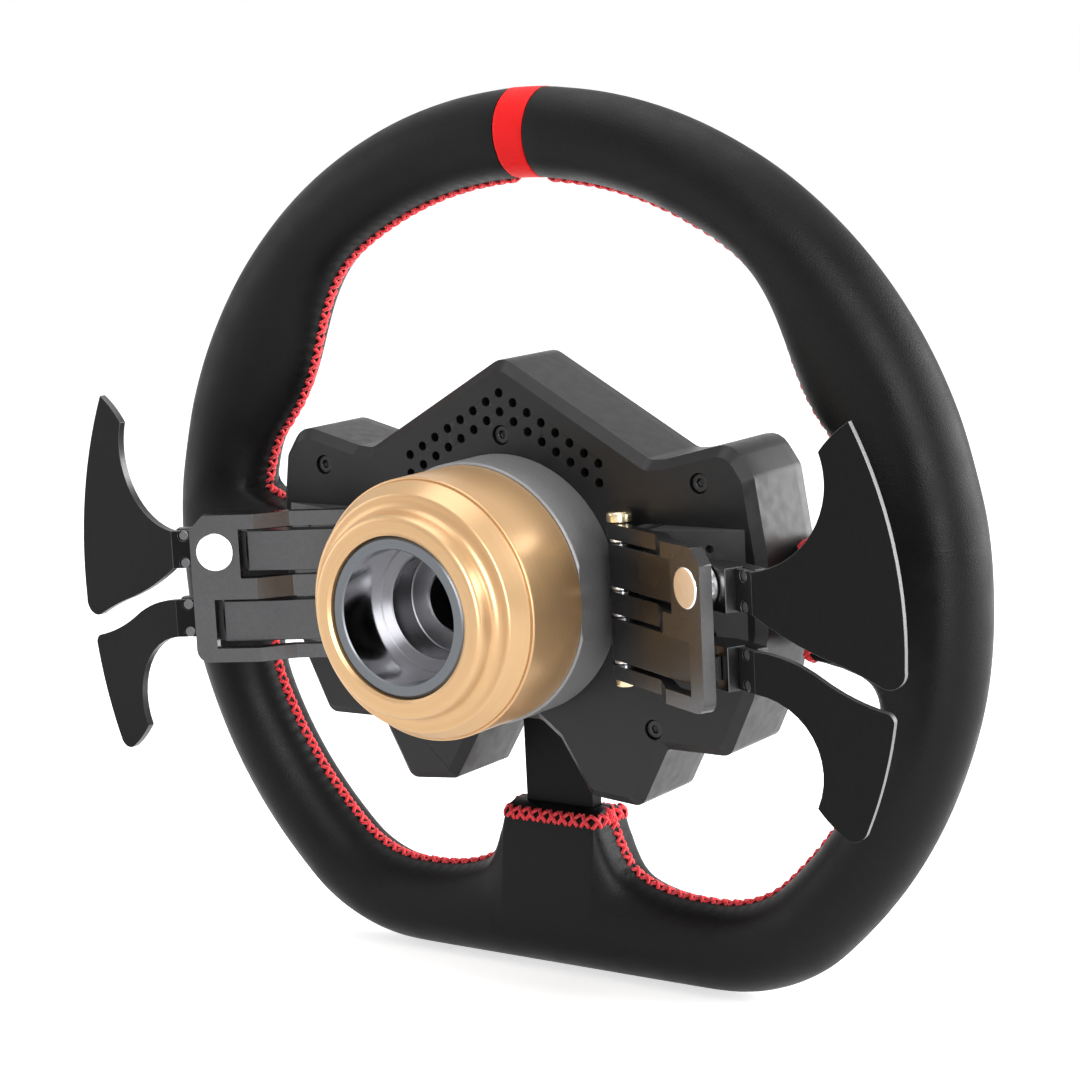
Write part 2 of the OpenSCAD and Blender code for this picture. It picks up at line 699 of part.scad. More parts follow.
module circuit_board() {
    color("#1f5f3a")
        plate_at(board_y, board_t)
            difference() {
                polygon(outline(cavity_offset - 0.5));
                circle(r = spacer_r + 2, $fn = 96);
                for (p = SCREWS)
                    translate(p)
                        circle(r = boss_d / 2 + fit);
            }
}

module board_switches() {
    color("#3b3b3e")
        for (side = SIDES)
            on_side(side)
                for (b = BUTTONS)
                    translate([b[1] - switch_w / 2, board_front_y - switch_h, b[2] - switch_w / 2])
                        cube([switch_w, switch_h, switch_w]);
}

module knob_encoders() {
    color("#8b8d90")
        for (side = SIDES)
            on_side(side) {
                translate([KNOB[0] - encoder_w / 2, shell_front_y, KNOB[1] - encoder_w / 2])
                    cube([encoder_w, board_front_y - shell_front_y, encoder_w]);
                bar_y(shaft_r, front_y - shaft_seat, shell_front_y, KNOB[0], KNOB[1]);
            }
}

module button(side, index) {
    b = BUTTONS[index];
    on_side(side)
        color(index == 0 ? "#b3262c" : "#3f4144")
            difference() {
                union() {
                    bar_y(button_r, front_y - button_proud, shell_front_y, b[1], b[2]);
                    bar_y(button_r + 1.2, shell_front_y + fit, shell_front_y + fit + button_flange, b[1], b[2]);
                    bar_y(2, shell_front_y, board_front_y - switch_h - button_travel - fit, b[1], b[2]);
                    bar_y(button_r, shell_front_y, shell_front_y + fit, b[1], b[2]);
                }
                translate([b[1], front_y - button_proud - dish_r + dish_depth, b[2]])
                    sphere(r = dish_r, $fn = 64);
            }
}

module knob(side) {
    flutes = 12;
    on_side(side)
        color("#2d2e31")
            translate([KNOB[0], front_y - fit, KNOB[1]])
                rotate([90, 0, 0])
                    difference() {
                        union() {
                            cylinder(d = knob_d, h = knob_h - 1);
                            translate([0, 0, knob_h - 1])
                                cylinder(d1 = knob_d, d2 = knob_d - 2, h = 1, $fn = 48);
                        }
                        translate([0, 0, -past])
                            cylinder(r = shaft_r + running, h = shaft_seat - fit + 1 + past);
                        for (k = [0 : flutes - 1])
                            rotate([0, 0, k * 360 / flutes])
                                translate([knob_d / 2 + 0.7, 0, 2])
                                    cylinder(r = 1.5, h = knob_h, $fn = 16);
                    }
}

// ---------- paddles ----------

base_screw_z = [(stack_top + z_top1) / 2, (z_mid + z_mid_low) / 2, (z_low + stack_low) / 2];
FINGERS = [[z_top1, stack_top], [z_mid_low, z_mid], [stack_low, z_low]];
function line_y(x, n) = pin_y + n / cos(arm_tilt) + (x - pin_x) * tan(arm_tilt);
finger_low_n = finger_n - finger_t;
screw_end_y = line_y(base_screw_x, finger_low_n) + screw_bite;

// Comb-shaped bracket: three hinge fingers that step up to one outer plate
module bracket(side) {
    on_side(side)
        color("#636366")
            difference() {
                union() {
                    on_pin() {
                        for (f = FINGERS) {
                            translate([0, 0, f[0]])
                                cylinder(r = knuckle_r, h = f[1] - f[0]);
                            upright(f[0], f[1])
                                polygon([[0, finger_n], [0, finger_n - finger_t], [ramp_s + 1.5, finger_n - finger_t],
                                    [plate_s + 1.5, plate_low_n], [plate_s + 5, plate_low_n],
                                    [plate_s + 5, plate_n], [plate_s, plate_n], [ramp_s, finger_n]]);
                        }
                        bracket_plate();
                        // rest for the lower arm
                        upright(z_arm2_low + 3, z_arm2 - 3)
                            polygon([[window_low_s + 1, plate_low_n + 1], [window_low_s + 1, arm_block_n + fit],
                                [window_low_s + 4.5, arm_block_n + fit], [window_low_s + 4.5, plate_low_n + 1]]);
                    }
                }
                on_pin() {
                    translate([0, 0, stack_low - past])
                        cylinder(d = pin_d, h = stack_top - stack_low + 2 * past);
                    translate([magnet_s, plate_n + past, magnet_z])
                        rotate([90, 0, 0])
                            cylinder(d = magnet_d, h = plate_t + 2 * past);
                }
                for (z = base_screw_z)
                    bar_y(screw_d / 2, block_ridge_y, screw_end_y + fit, base_screw_x, z);
            }
}

// Outer plate with two windows that open towards the hub
module bracket_plate() {
    translate([0, plate_n, 0])
        rotate([90, 0, 0])
            linear_extrude(plate_t)
                difference() {
                    polygon(rounded([[plate_s, stack_low, 0.1], [plate_end_s, stack_low, 4],
                        [plate_end_s, stack_top - 4.5, 0.6], [plate_end_s - 4.5, stack_top, 0.6],
                        [plate_s, stack_top, 0.1]]));
                    translate([plate_s - past, z_mid])
                        square([window_up_s - plate_s + past, z_top1 - z_mid]);
                    translate([plate_s - past, z_low])
                        square([window_low_s - plate_s + past, z_mid_low - z_low]);
                }
}

module bracket_screws(side) {
    on_side(side)
        color("#2e2e30")
            for (z = base_screw_z) {
                bar_y(screw_d / 2, -wall, screw_end_y, base_screw_x, z);
                bar_y(2.7, -wall - 2, -wall, base_screw_x, z);
            }
}

module hinge_pin(side) {
    on_side(side)
        color("#c9b27a")
            on_pin() {
                translate([0, 0, stack_low])
                    cylinder(d = pin_d, h = stack_top - stack_low);
                translate([0, 0, stack_top])
                    cylinder(d = pin_head_d, h = pin_head_h - 0.8);
                translate([0, 0, stack_top + pin_head_h - 0.8])
                    cylinder(d1 = pin_head_d, d2 = pin_head_d - 1.6, h = 0.8, $fn = 48);
                translate([0, 0, stack_low - pin_tail_h])
                    cylinder(d = pin_tail_d, h = pin_tail_h);
            }
}

module hinge_washers(side) {
    on_side(side)
        color("#d8d8da")
            on_pin()
                for (z = [z_arm1 + play, z_mid, z_arm2 + play, z_low])
                    translate([0, 0, z])
                        difference() {
                            cylinder(d = washer_d, h = washer_h - play);
                            translate([0, 0, -past])
                                cylinder(d = pin_d + 0.2, h = washer_h + 2 * past);
                        }
}

module stop_magnet(side) {
    on_side(side)
        color("#e2e2e4")
            on_pin()
                translate([magnet_s, plate_n + fit, magnet_z])
                    rotate([90, 0, 0])
                        cylinder(d = magnet_d, h = plate_n - arm_block_n);
}

sensor_x = 64;
sensor_w = 6;
sensor_y0 = 4;
sensor_y1 = 10.1;
sensor_z = [(z_arm1 + z_arm1_low) / 2, (z_arm2 + z_arm2_low) / 2];

// Wedge on the housing's face that carries the bracket's fingers, cut away
// under each arm so that the arm can swing
module base_block(side) {
    on_side(side)
        color("#2a2a2c")
            difference() {
                translate([0, 0, stack_low + block_inset])
                    linear_extrude(stack_top - stack_low - 2 * block_inset)
                        polygon([[block_x0, 0], [block_x1, 0], [block_seat_x, line_y(block_seat_x, finger_low_n)],
                            [block_x0, line_y(block_x0, finger_low_n)]]);
                for (z = [[z_mid, z_top1], [z_low, z_mid_low]])
                    translate([0, 0, z[0] - play])
                        linear_extrude(z[1] - z[0] + 2 * play)
                            polygon([[block_cut_x, block_cut_y], [block_x1, block_cut_y
                                + (block_x1 - block_cut_x) * tan(block_cut_deg)],
                            [block_x1, 40], [block_cut_x, 40]]);
                for (z = base_screw_z)
                    bar_y(screw_d / 2 + 0.1, -past, 20, base_screw_x, z);
                for (z = sensor_z)
                    sensor_cube(z, 0.1);
                for (z = [z_arm1 - 1, z_arm2 - 4])
                    bar_y(block_hole_r, 0.8, 20, 74.3, z);
            }
}

function slope_y(x) = (block_x1 - x) * block_ridge_y / (block_x1 - block_ridge_x);
// where the block's slope meets the underside of the fingers
block_slope = block_ridge_y / (block_x1 - block_ridge_x);
block_seat_x = (slope_y(0) - line_y(0, finger_low_n)) / (block_slope + tan(arm_tilt));

module sensor_cube(z, grow) {
    translate([sensor_x - sensor_w / 2 - grow, sensor_y0, z - sensor_w / 2 - grow])
        cube([sensor_w + 2 * grow, sensor_y1 - sensor_y0 + 10 * grow, sensor_w + 2 * grow]);
}

module paddle_sensors(side) {
    on_side(side)
        color("#46474b")
            for (z = sensor_z)
                sensor_cube(z, 0);
}

// Arm with a hinge knuckle, a raised land in the bracket's window and a block
// at its end that carries the blade
module arm(side, z0, z1, window_s) {
    land_s = window_s - 1.6;
    mid_z = (z0 + z1) / 2;
    on_side(side)
        color("#3c3c3e")
            on_pin()
                difference() {
                    union() {
                        translate([0, 0, z0])
                            cylinder(r = knuckle_r, h = z1 - z0);
                        upright(z0, z1)
                            polygon([[0, knuckle_r], [0, arm_low_n], [40, arm_low_n - 1.2], [45, -6],
                                [50, stem_low_n - tongue_t], [bend_s - 1.2, stem_low_n - tongue_t],
                                [bend_s - 1.2, stem_low_n], [arm_end_s, stem_low_n], [arm_end_s, arm_block_n],
                                [land_s + 0.8, arm_block_n], [land_s, knuckle_r]]);
                    }
                    translate([0, 0, z0 - past])
                        cylinder(d = pin_d + 2 * running, h = z1 - z0 + 2 * past);
                    for (z = [mid_z - 4.4, mid_z + 4.4])
                        translate([blade_screw_s, stem_low_n + past, z])
                            rotate([90, 0, 0])
                                cylinder(d = blade_screw_d, h = tongue_t + 2 * past);
                }
}

// Children in the blade's plane: x outwards from the bend, y up
module on_blade() {
    on_pin()
        translate([bend_s, bend_lift, 0])
            rotate([0, 0, -arm_tilt - blade_lean])
                rotate([90, 0, 0])
                    linear_extrude(blade_t)
                        children();
}

// Blade sheet: its outline past the bend, and its stem on the arm
module blade(side, z0, z1, outline_pts) {
    mid_z = (z0 + z1) / 2;
    bend_in = blade_t * tan((arm_tilt + blade_lean) / 2);
    on_side(side)
        color("#2a2b2d")
            difference() {
                union() {
                    on_blade()
                        polygon(outline_pts);
                    on_pin() {
                        upright(z0 + 0.4, z1 - 0.4)
                            polygon([[arm_end_s + fit, bend_lift], [arm_end_s + fit, stem_low_n],
                                [bend_s - bend_in, stem_low_n], [bend_s, bend_lift]]);
                        upright(z0 + 0.4, z1 - 0.4)
                            polygon([[bend_s, bend_lift], [bend_s - bend_in, stem_low_n],
                                [bend_s - blade_t * sin(arm_tilt + blade_lean),
                                 bend_lift - blade_t * cos(arm_tilt + blade_lean)]]);
                    }
                }
                on_pin()
                    for (z = [mid_z - 4.4, mid_z + 4.4]) {
                        translate([blade_screw_s, bend_lift + past, z])
                            rotate([90, 0, 0])
                                cylinder(d = blade_screw_d + 0.2, h = blade_t + 2 * past);
                        translate([blade_screw_s, bend_lift + past, z])
                            rotate([90, 0, 0])
                                cylinder(d = blade_head_d + 0.2, h = blade_head_h + past);
                    }
            }
}

// Blade outlines, as [distance past the bend, height]
function out_of(x) = (x - bend_x) / cos(blade_lean);
function bp(x, z) = [out_of(x), z];
UPPER_BLADE = concat(
    bow(bp(106, z_arm1_low + 0.4), bp(127, -7), -0.8),
    bow(bp(127, -7), bp(143.2, -14.1), 0.4),
    bow(bp(143.2, -14.1), bp(149.6, -9), -2.4),
    bow(bp(149.6, -9), bp(135.6, 58.2), -4.4, 14),
    bow(bp(135.6, 58.2), bp(126.6, 49.8), -0.6),
    bow(bp(126.6, 49.8), bp(127.8, 38), 0.7),
    bow(bp(127.8, 38), bp(106, z_arm1 - 0.4), 5.2, 12),
    [bp(106, z_arm1 - 0.4)]);
LOWER_BLADE = concat(
    bow(bp(106, z_arm2_low + 0.4), bp(123.4, -49), 9.0, 12),
    bow(bp(123.4, -49), bp(132, -57.3), -0.5),
    bow(bp(132, -57.3), bp(137.6, -54.6), -1.4),
    bow(bp(137.6, -54.6), bp(146.2, -23.6), -1),
    bow(bp(146.2, -23.6), bp(144, -20.9), -0.6),
    bow(bp(144, -20.9), bp(125.6, -12.9), 0.9),
    bow(bp(125.6, -12.9), bp(106, z_arm2 - 0.4), -1.4),
    [bp(106, z_arm2 - 0.4)]);

module blade_screws(side, z0, z1) {
    mid_z = (z0 + z1) / 2;
    on_side(side)
        color("#6a6a6d")
            on_pin()
                for (z = [mid_z - 4.4, mid_z + 4.4])
                    translate([blade_screw_s, 0, z]) {
                        translate([0, bend_lift - 0.3, 0])
                            rotate([90, 0, 0])
                                cylinder(d = blade_head_d, h = blade_head_h - 0.3);
                        translate([0, bend_lift - blade_head_h, 0])
                            rotate([90, 0, 0])
                                cylinder(d = blade_screw_d, h = blade_t + tongue_t - blade_head_h - 0.4);
                    }
}

// ---------- assembly ----------

placed() rim_frame();
placed() rim_grip();
placed() centre_stripe();
placed() rear_housing();
placed() front_plate();
placed() housing_screws();
placed() hub_spacer();
placed() hub_bolts();
placed() hub_adapter();
placed() qr_socket();
placed() socket_screws();
placed() release_sleeve();
placed() retaining_ring();
placed() lock_balls();
placed() sleeve_spring();
placed() circuit_board();
placed() board_switches();
placed() knob_encoders();
for (side = SIDES) {
    placed() base_block(side);
    placed() bracket(side);
    placed() bracket_screws(side);
    placed() hinge_pin(side);
    placed() hinge_washers(side);
    placed() stop_magnet(side);
    placed() paddle_sensors(side);
    placed() arm(side, z_arm1_low, z_arm1, window_up_s);
    placed() arm(side, z_arm2_low, z_arm2, window_low_s);
    placed() blade(side, z_arm1_low, z_arm1, UPPER_BLADE);
    placed() blade(side, z_arm2_low, z_arm2, LOWER_BLADE);
    placed() blade_screws(side, z_arm1_low, z_arm1);
    placed() blade_screws(side, z_arm2_low, z_arm2);
    placed() button(side, 0);
    placed() button(side, 1);
    placed() button(side, 2);
    placed() knob(side);
}
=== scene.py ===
"""Racing wheel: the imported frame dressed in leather, thread, metal and moulded plastic.

Lengths in the classes are millimetres from the point where the hub axis meets the
housing's rear face. ``place`` turns them into metres from the socket's mouth, which
lies ``DATUM`` behind that face. Corners closer than ``WELD`` metres are joined, or
``LATHE_WELD`` on a turned piece. Faces that turn by less than ``FLAT_TURN`` degrees
become one, and edges that turn by more than ``CRISP_TURN``, ``LATHE_CRISP`` or
``THREAD_CRISP`` stay crisp when a piece is shaded smooth.
"""

from __future__ import annotations

import json
import logging
import math
from contextlib import contextmanager
from dataclasses import dataclass, field
from enum import Enum
from typing import Callable, Iterator, Sequence

import bmesh
import bpy
import numpy as np
from mathutils import Matrix, Vector
from mathutils.bvhtree import BVHTree

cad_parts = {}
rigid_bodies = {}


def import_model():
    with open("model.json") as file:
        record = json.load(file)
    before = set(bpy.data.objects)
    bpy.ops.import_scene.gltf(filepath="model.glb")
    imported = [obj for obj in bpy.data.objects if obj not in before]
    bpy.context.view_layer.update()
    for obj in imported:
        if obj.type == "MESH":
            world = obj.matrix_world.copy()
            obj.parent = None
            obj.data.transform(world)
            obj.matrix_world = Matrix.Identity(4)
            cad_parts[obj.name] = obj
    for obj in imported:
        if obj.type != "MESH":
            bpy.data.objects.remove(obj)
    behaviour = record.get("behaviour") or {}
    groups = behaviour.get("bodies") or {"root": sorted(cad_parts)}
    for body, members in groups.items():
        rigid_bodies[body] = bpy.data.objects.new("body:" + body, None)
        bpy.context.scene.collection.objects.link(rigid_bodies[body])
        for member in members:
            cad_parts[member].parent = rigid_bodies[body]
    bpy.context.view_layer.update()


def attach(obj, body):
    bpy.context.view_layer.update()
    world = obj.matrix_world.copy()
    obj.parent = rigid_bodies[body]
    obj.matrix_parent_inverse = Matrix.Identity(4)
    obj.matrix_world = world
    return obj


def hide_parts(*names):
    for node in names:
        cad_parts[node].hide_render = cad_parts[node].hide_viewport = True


LOG = logging.getLogger("wheel")
MM = 0.001
DATUM = 55.6
WELD = 2e-6
LATHE_WELD = 5e-6
FLAT_TURN = 0.5
CRISP_TURN = 46.0
LATHE_CRISP = 32.0
THREAD_CRISP = 60.0
PAIR_BEND = 50.0
PAIR_SKEW = 150.0

Socket = bpy.types.NodeSocket
Seat = tuple[Vector, Vector]
Pair = tuple[float, float]
Triple = tuple[float, float, float]
Piece = bpy.types.Object
Mend = Callable[[Piece], None]


class Side(Enum):
    """The driver's right and left hand, as the sign of x."""

    RIGHT = 1
    LEFT = -1

    @property
    def word(self) -> str:
        """The side's name in lower case, as the nodes use it."""
        return self.name.lower()


class Level(Enum):
    """The upper and the lower paddle of one hinge."""

    UPPER = "upper"
    LOWER = "lower"


class Zone(Enum):
    """The zones of the socket, as the numbers of its materials."""

    LIP = 0
    BORE = 1
    STEP = 2
    DEEP = 3


def cos_sin(degrees: float) -> Pair:
    """Return the cosine and the sine of an angle in degrees."""
    turn = math.radians(degrees)
    return math.cos(turn), math.sin(turn)


def place(x: float, y: float, z: float) -> Vector:
    """Turn millimetres right of, behind and above the datum into metres from the socket."""
    return Vector((x, y - DATUM, z)) * MM


# -------- workbench


def clear_selection() -> None:
    """Deselect every object."""
    for obj in list(bpy.context.view_layer.objects):
        obj.select_set(False)


def pick(obj: Piece) -> None:
    """Make one object the only selected and active one."""
    clear_selection()
    obj.select_set(True)
    bpy.context.view_layer.objects.active = obj


def named(name: str) -> Piece:
    """Give the active object and its mesh a name and return it."""
    obj = bpy.context.active_object
    obj.name = name
    obj.data.name = name
    return obj


def select_whole() -> None:
    """Select all of the mesh that is being edited."""
    bpy.ops.mesh.select_all(action="SELECT")


@contextmanager
def editing(piece: Piece) -> Iterator[None]:
    """Hold a piece in edit mode, with all of it selected at the start."""
    pick(piece)
    bpy.ops.object.mode_set(mode="EDIT")
    select_whole()
    yield
    bpy.ops.object.mode_set(mode="OBJECT")


def twin(node: str, name: str, quads: bool = False) -> Piece:
    """Copy a node's solid as a piece of its own, with its loose triangles joined.

    Args:
        node: The node to copy.
        name: The new piece's name.
        quads: Whether triangles of a curved skin are paired into quads.

    Returns:
        The copy.
    """
    pick(bpy.data.objects[node])
    bpy.ops.object.duplicate()
    piece = named(name)
    piece.parent = None
    for key in list(piece.keys()):
        del piece[key]
    piece.data.materials.clear()
    pick(piece)
    if piece.data.has_custom_normals:
        bpy.ops.mesh.customdata_custom_splitnormals_clear()
    with editing(piece):
        bpy.ops.mesh.remove_doubles(threshold=WELD)
        if quads:
            bpy.ops.mesh.tris_convert_to_quads(face_threshold=math.radians(PAIR_BEND),
                                               shape_threshold=math.radians(PAIR_SKEW))
    return piece


def apply_all(piece: Piece) -> None:
    """Apply every modifier of a piece in order."""
    pick(piece)
    for modifier in list(piece.modifiers):
        bpy.ops.object.modifier_apply(modifier=modifier.name)


def smooth(piece: Piece, degrees: float) -> None:
    """Shade a piece smooth, with edges sharper than an angle left crisp."""
    pick(piece)
    bpy.ops.object.shade_smooth_by_angle(angle=math.radians(degrees))


def lathe(name: str, profile: Sequence[Pair], steps: int = 128) -> Piece:
    """Turn a closed profile about the hub axis.

    Args:
        name: The new piece's name.
        profile: Radius and y of each corner, in millimetres.
        steps: Steps round the axis.

    Returns:
        The turned piece.
    """
    clear_selection()
    first = place(*profile[0], 0)
    bpy.ops.mesh.primitive_plane_add(size=MM, location=first)
    piece = named(name)
    bpy.ops.object.transform_apply()
    with editing(piece):
        bpy.ops.mesh.select_mode(type="VERT")
        select_whole()
        bpy.ops.mesh.merge(type="CENTER")
        here = first
        for radius, y in [*profile[1:], profile[0]]:
            there = place(radius, y, 0)
            bpy.ops.mesh.extrude_region_move(TRANSFORM_OT_translate={"value": there - here})
            here = there
        select_whole()
        bpy.ops.mesh.spin(steps=steps, angle=2 * math.pi, center=place(0, 0, 0), axis=(0, 1, 0))
        select_whole()
        bpy.ops.mesh.remove_doubles(threshold=LATHE_WELD)
        bpy.ops.mesh.normals_make_consistent(inside=False)
    smooth(piece, LATHE_CRISP)
    return piece


def arc(x: float, y: float, r: float, start: float, end: float, steps: int) -> list[Pair]:
    """Return the points of a round stretch of a profile, by angles in degrees from radial."""
    turns = [cos_sin(start + (end - start) * k / steps) for k in range(steps + 1)]
    return [(x + r * c, y + r * s) for c, s in turns]


def rows_of(pattern: Piece, places: Sequence[Matrix], name: str) -> Piece:
    """Copy one modelled shape to many places as a single piece.

    Args:
        pattern: The shape, modelled round the origin. It is deleted.
        places: One matrix for each copy.
        name: The new piece's name.

    Returns:
        The joined copies.
    """
    merged = bmesh.new()
    for matrix in places:
        copy = pattern.data.copy()
        copy.transform(matrix)
        merged.from_mesh(copy)
        bpy.data.meshes.remove(copy)
    mesh = bpy.data.meshes.new(name)
    merged.to_mesh(mesh)
    merged.free()
    piece = bpy.data.objects.new(name, mesh)
    bpy.context.scene.collection.objects.link(piece)
    old = pattern.data
    bpy.data.objects.remove(pattern)
    bpy.data.meshes.remove(old)
    return piece


def settle(piece: Piece, body: str, slot: str, *finishes: Finish) -> Piece:
    """Dress a piece and let it ride on a body.

    Args:
        piece: The finished piece.
        body: The body that carries it.
        slot: The record's material slot. It is not used.
        *finishes: The finish for each of its materials, in their order.

    Returns:
        The piece.
    """
    numbers = [face.material_index for face in piece.data.polygons]
    piece.data.materials.clear()
    for finish in finishes:
        piece.data.materials.append(finish.material())
    piece.data.polygons.foreach_set("material_index", [min(n, len(finishes) - 1) for n in numbers])
    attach(piece, body)
    LOG.info("piece %s on %s, %d faces", piece.name, body, len(piece.data.polygons))
    return piece


def dress(node: str, finish: Finish) -> None:
    """Give a node's own solid a finish.

    Args:
        node: The node.
        finish: The finish for all its slots.
    """
    obj = bpy.data.objects[node]
    material = finish.material()
    if not obj.data.materials:
        obj.data.materials.append(material)
    for index in range(len(obj.data.materials)):
        obj.data.materials[index] = material
    LOG.info("node %s dressed in %s", node, finish.name)


def remade(node: str, name: str, body: str, slot: str, width_mm: float, *finishes: Finish,
           rounds: int = 2, degrees: float = 30.0, mend: Mend | None = None) -> Piece:
    """Replace a node by a copy with broken edges, shaded smooth.

    Args:
        node: The node.
        name: The new piece's name.
        body: The body that carries it.
        slot: The record's material slot.
        width_mm: Width of each broken edge.
        *finishes: Finish of its faces, and where there is a second, of the broken edges.
        rounds: Steps across an edge.
        degrees: Edges that turn by less stay as they are.
        mend: Puts the copy right, in edit mode, before its edges are broken.

    Returns:
        The piece.
    """
    piece = twin(node, name)
    with editing(piece):
        if mend:
            mend(piece)
        select_whole()
        bpy.ops.mesh.dissolve_limited(angle_limit=math.radians(FLAT_TURN))
        select_whole()
        bpy.ops.mesh.vert_connect_concave()
    edges = piece.modifiers.new("edges", "BEVEL")
    edges.width = width_mm * MM
    edges.segments = rounds
    edges.limit_method = "ANGLE"
    edges.angle_limit = math.radians(degrees)
    if len(finishes) > 1:
        edges.material = 1
        for _ in finishes:
            piece.data.materials.append(None)
    apply_all(piece)
    smooth(piece, CRISP_TURN)
    flat = piece.modifiers.new("flat", "WEIGHTED_NORMAL")
    flat.keep_sharp = True
    apply_all(piece)
    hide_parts(node)
    return settle(piece, body, slot, *finishes)


# -------- finishes


class Tree:
    """A material's node tree, built from the shader back to its inputs."""

    def __init__(self, name: str) -> None:
        """Start an empty material with a Principled shader."""
        self.material = bpy.data.materials.new(name)
        self.material.use_nodes = True
        self.nodes = self.material.node_tree.nodes
        self.links = self.material.node_tree.links
        self.nodes.clear()
        self.out = self.nodes.new("ShaderNodeOutputMaterial")
        self.shader = self.nodes.new("ShaderNodeBsdfPrincipled")
        self.links.new(self.shader.outputs[0], self.out.inputs[0])
        self.coord = self.nodes.new("ShaderNodeTexCoord").outputs["Object"]

    def add(self, kind: str, inputs: dict | None = None, **settings: object) -> bpy.types.Node:
        """Add a node.

        Args:
            kind: Blender's name for the node.
            inputs: Socket name or number to a value or to another node's socket.
            **settings: Properties of the node itself.

        Returns:
            The node.
        """
        node = self.nodes.new(kind)
        for key, value in settings.items():
            setattr(node, key, value)
        for key, value in (inputs or {}).items():
            socket = node.inputs[key]
            if isinstance(value, Socket):
                self.links.new(value, socket)
            else:
                socket.default_value = value
        return node

    def noise(self, scale: float, detail: float = 3.0, coord: Socket | None = None) -> Socket:
        """Add a noise pattern and return its value socket."""
        inputs = {"Vector": coord or self.coord, "Scale": scale, "Detail": detail}
        return self.add("ShaderNodeTexNoise", inputs).outputs[0]

    def stretched(self, x: float, y: float, z: float) -> Socket:
        """Return Object coordinates scaled along each axis."""
        return self.add("ShaderNodeMapping", {"Vector": self.coord, "Scale": (x, y, z)}).outputs[0]

    def spread(self, value: Socket, low: float, high: float,
               start: float = 0.3, end: float = 0.7) -> Socket:
        """Map a value from start..end to low..high, held at the ends."""
        return self.add("ShaderNodeMapRange", {"Value": value, "From Min": start, "From Max": end,
                                               "To Min": low, "To Max": high}).outputs[0]

    def times(self, first: Socket, second: Socket | float) -> Socket:
        """Multiply a value by another."""
        return self.add("ShaderNodeMath", {0: first, 1: second}, operation="MULTIPLY").outputs[0]

    def blend(self, share: Socket, first: Sequence[float] | Socket,
              second: Sequence[float] | Socket) -> Socket:
        """Mix two colours by a share and return the colour socket."""
        node = self.add("ShaderNodeMix", data_type="RGBA")
        self.links.new(share, node.inputs[0])
        for number, colour in ((6, first), (7, second)):
            if isinstance(colour, Socket):
                self.links.new(colour, node.inputs[number])
            else:
                node.inputs[number].default_value = (*colour, 1.0)
        return node.outputs[2]

    def bump(self, height: Socket, depth_mm: float, strength: float = 1.0,
             under: Socket | None = None) -> Socket:
        """Add a bump of a given depth and return its normal socket."""
        inputs = {"Height": height, "Distance": depth_mm * MM, "Strength": strength}
        if under is not None:
            inputs["Normal"] = under
        return self.add("ShaderNodeBump", inputs).outputs[0]

    def soft_edge(self, radius_mm: float) -> Socket:
        """Return a normal that rounds hard edges by a radius."""
        return self.add("ShaderNodeBevel", {"Radius": radius_mm * MM}, samples=6).outputs[0]

    def feed(self, socket: str, value: Socket | float | Sequence[float]) -> None:
        """Link or set one of the shader's own sockets."""
        if isinstance(value, Socket):
            self.links.new(value, self.shader.inputs[socket])
        else:
            self.shader.inputs[socket].default_value = value


@dataclass(frozen=True)
class Finish:
    """A surface finish: colour, gloss, how far they vary and what is special to its kind."""

    name: str
    colour: Triple
    roughness: float
    specular: float = 0.4
    shades: Pair = (0.94, 1.06)
    rough_by: Pair = (0.03, 0.05)

    def material(self) -> bpy.types.Material:
        """Return the finish's material, built once."""
        label = f"{self.name}_finish"
        found = bpy.data.materials.get(label)
        if found:
            return found
        tree = Tree(label)
        tree.feed("Roughness", self.roughness)
        tree.feed("Specular IOR Level", self.specular)
        self.detail(tree)
        return tree.material

    def shade(self, factor: float) -> Triple:
        """Return the colour made lighter or darker by a factor."""
        return tuple(min(1.0, c * factor) for c in self.colour)

    def tint(self, tree: Tree, pattern: Socket) -> Socket:
        """Return the colour, varied from its darker to its lighter shade by a pattern."""
        dark, light = self.shades
        return tree.blend(pattern, self.shade(dark), self.shade(light))

    def uneven(self, tree: Tree, pattern: Socket) -> Socket:
        """Return the roughness, made uneven by a pattern."""
        less, more = self.rough_by
        return tree.spread(pattern, self.roughness - less, self.roughness + more)

    def detail(self, tree: Tree) -> None:
        """Add the pattern of the finish's kind."""
        raise NotImplementedError


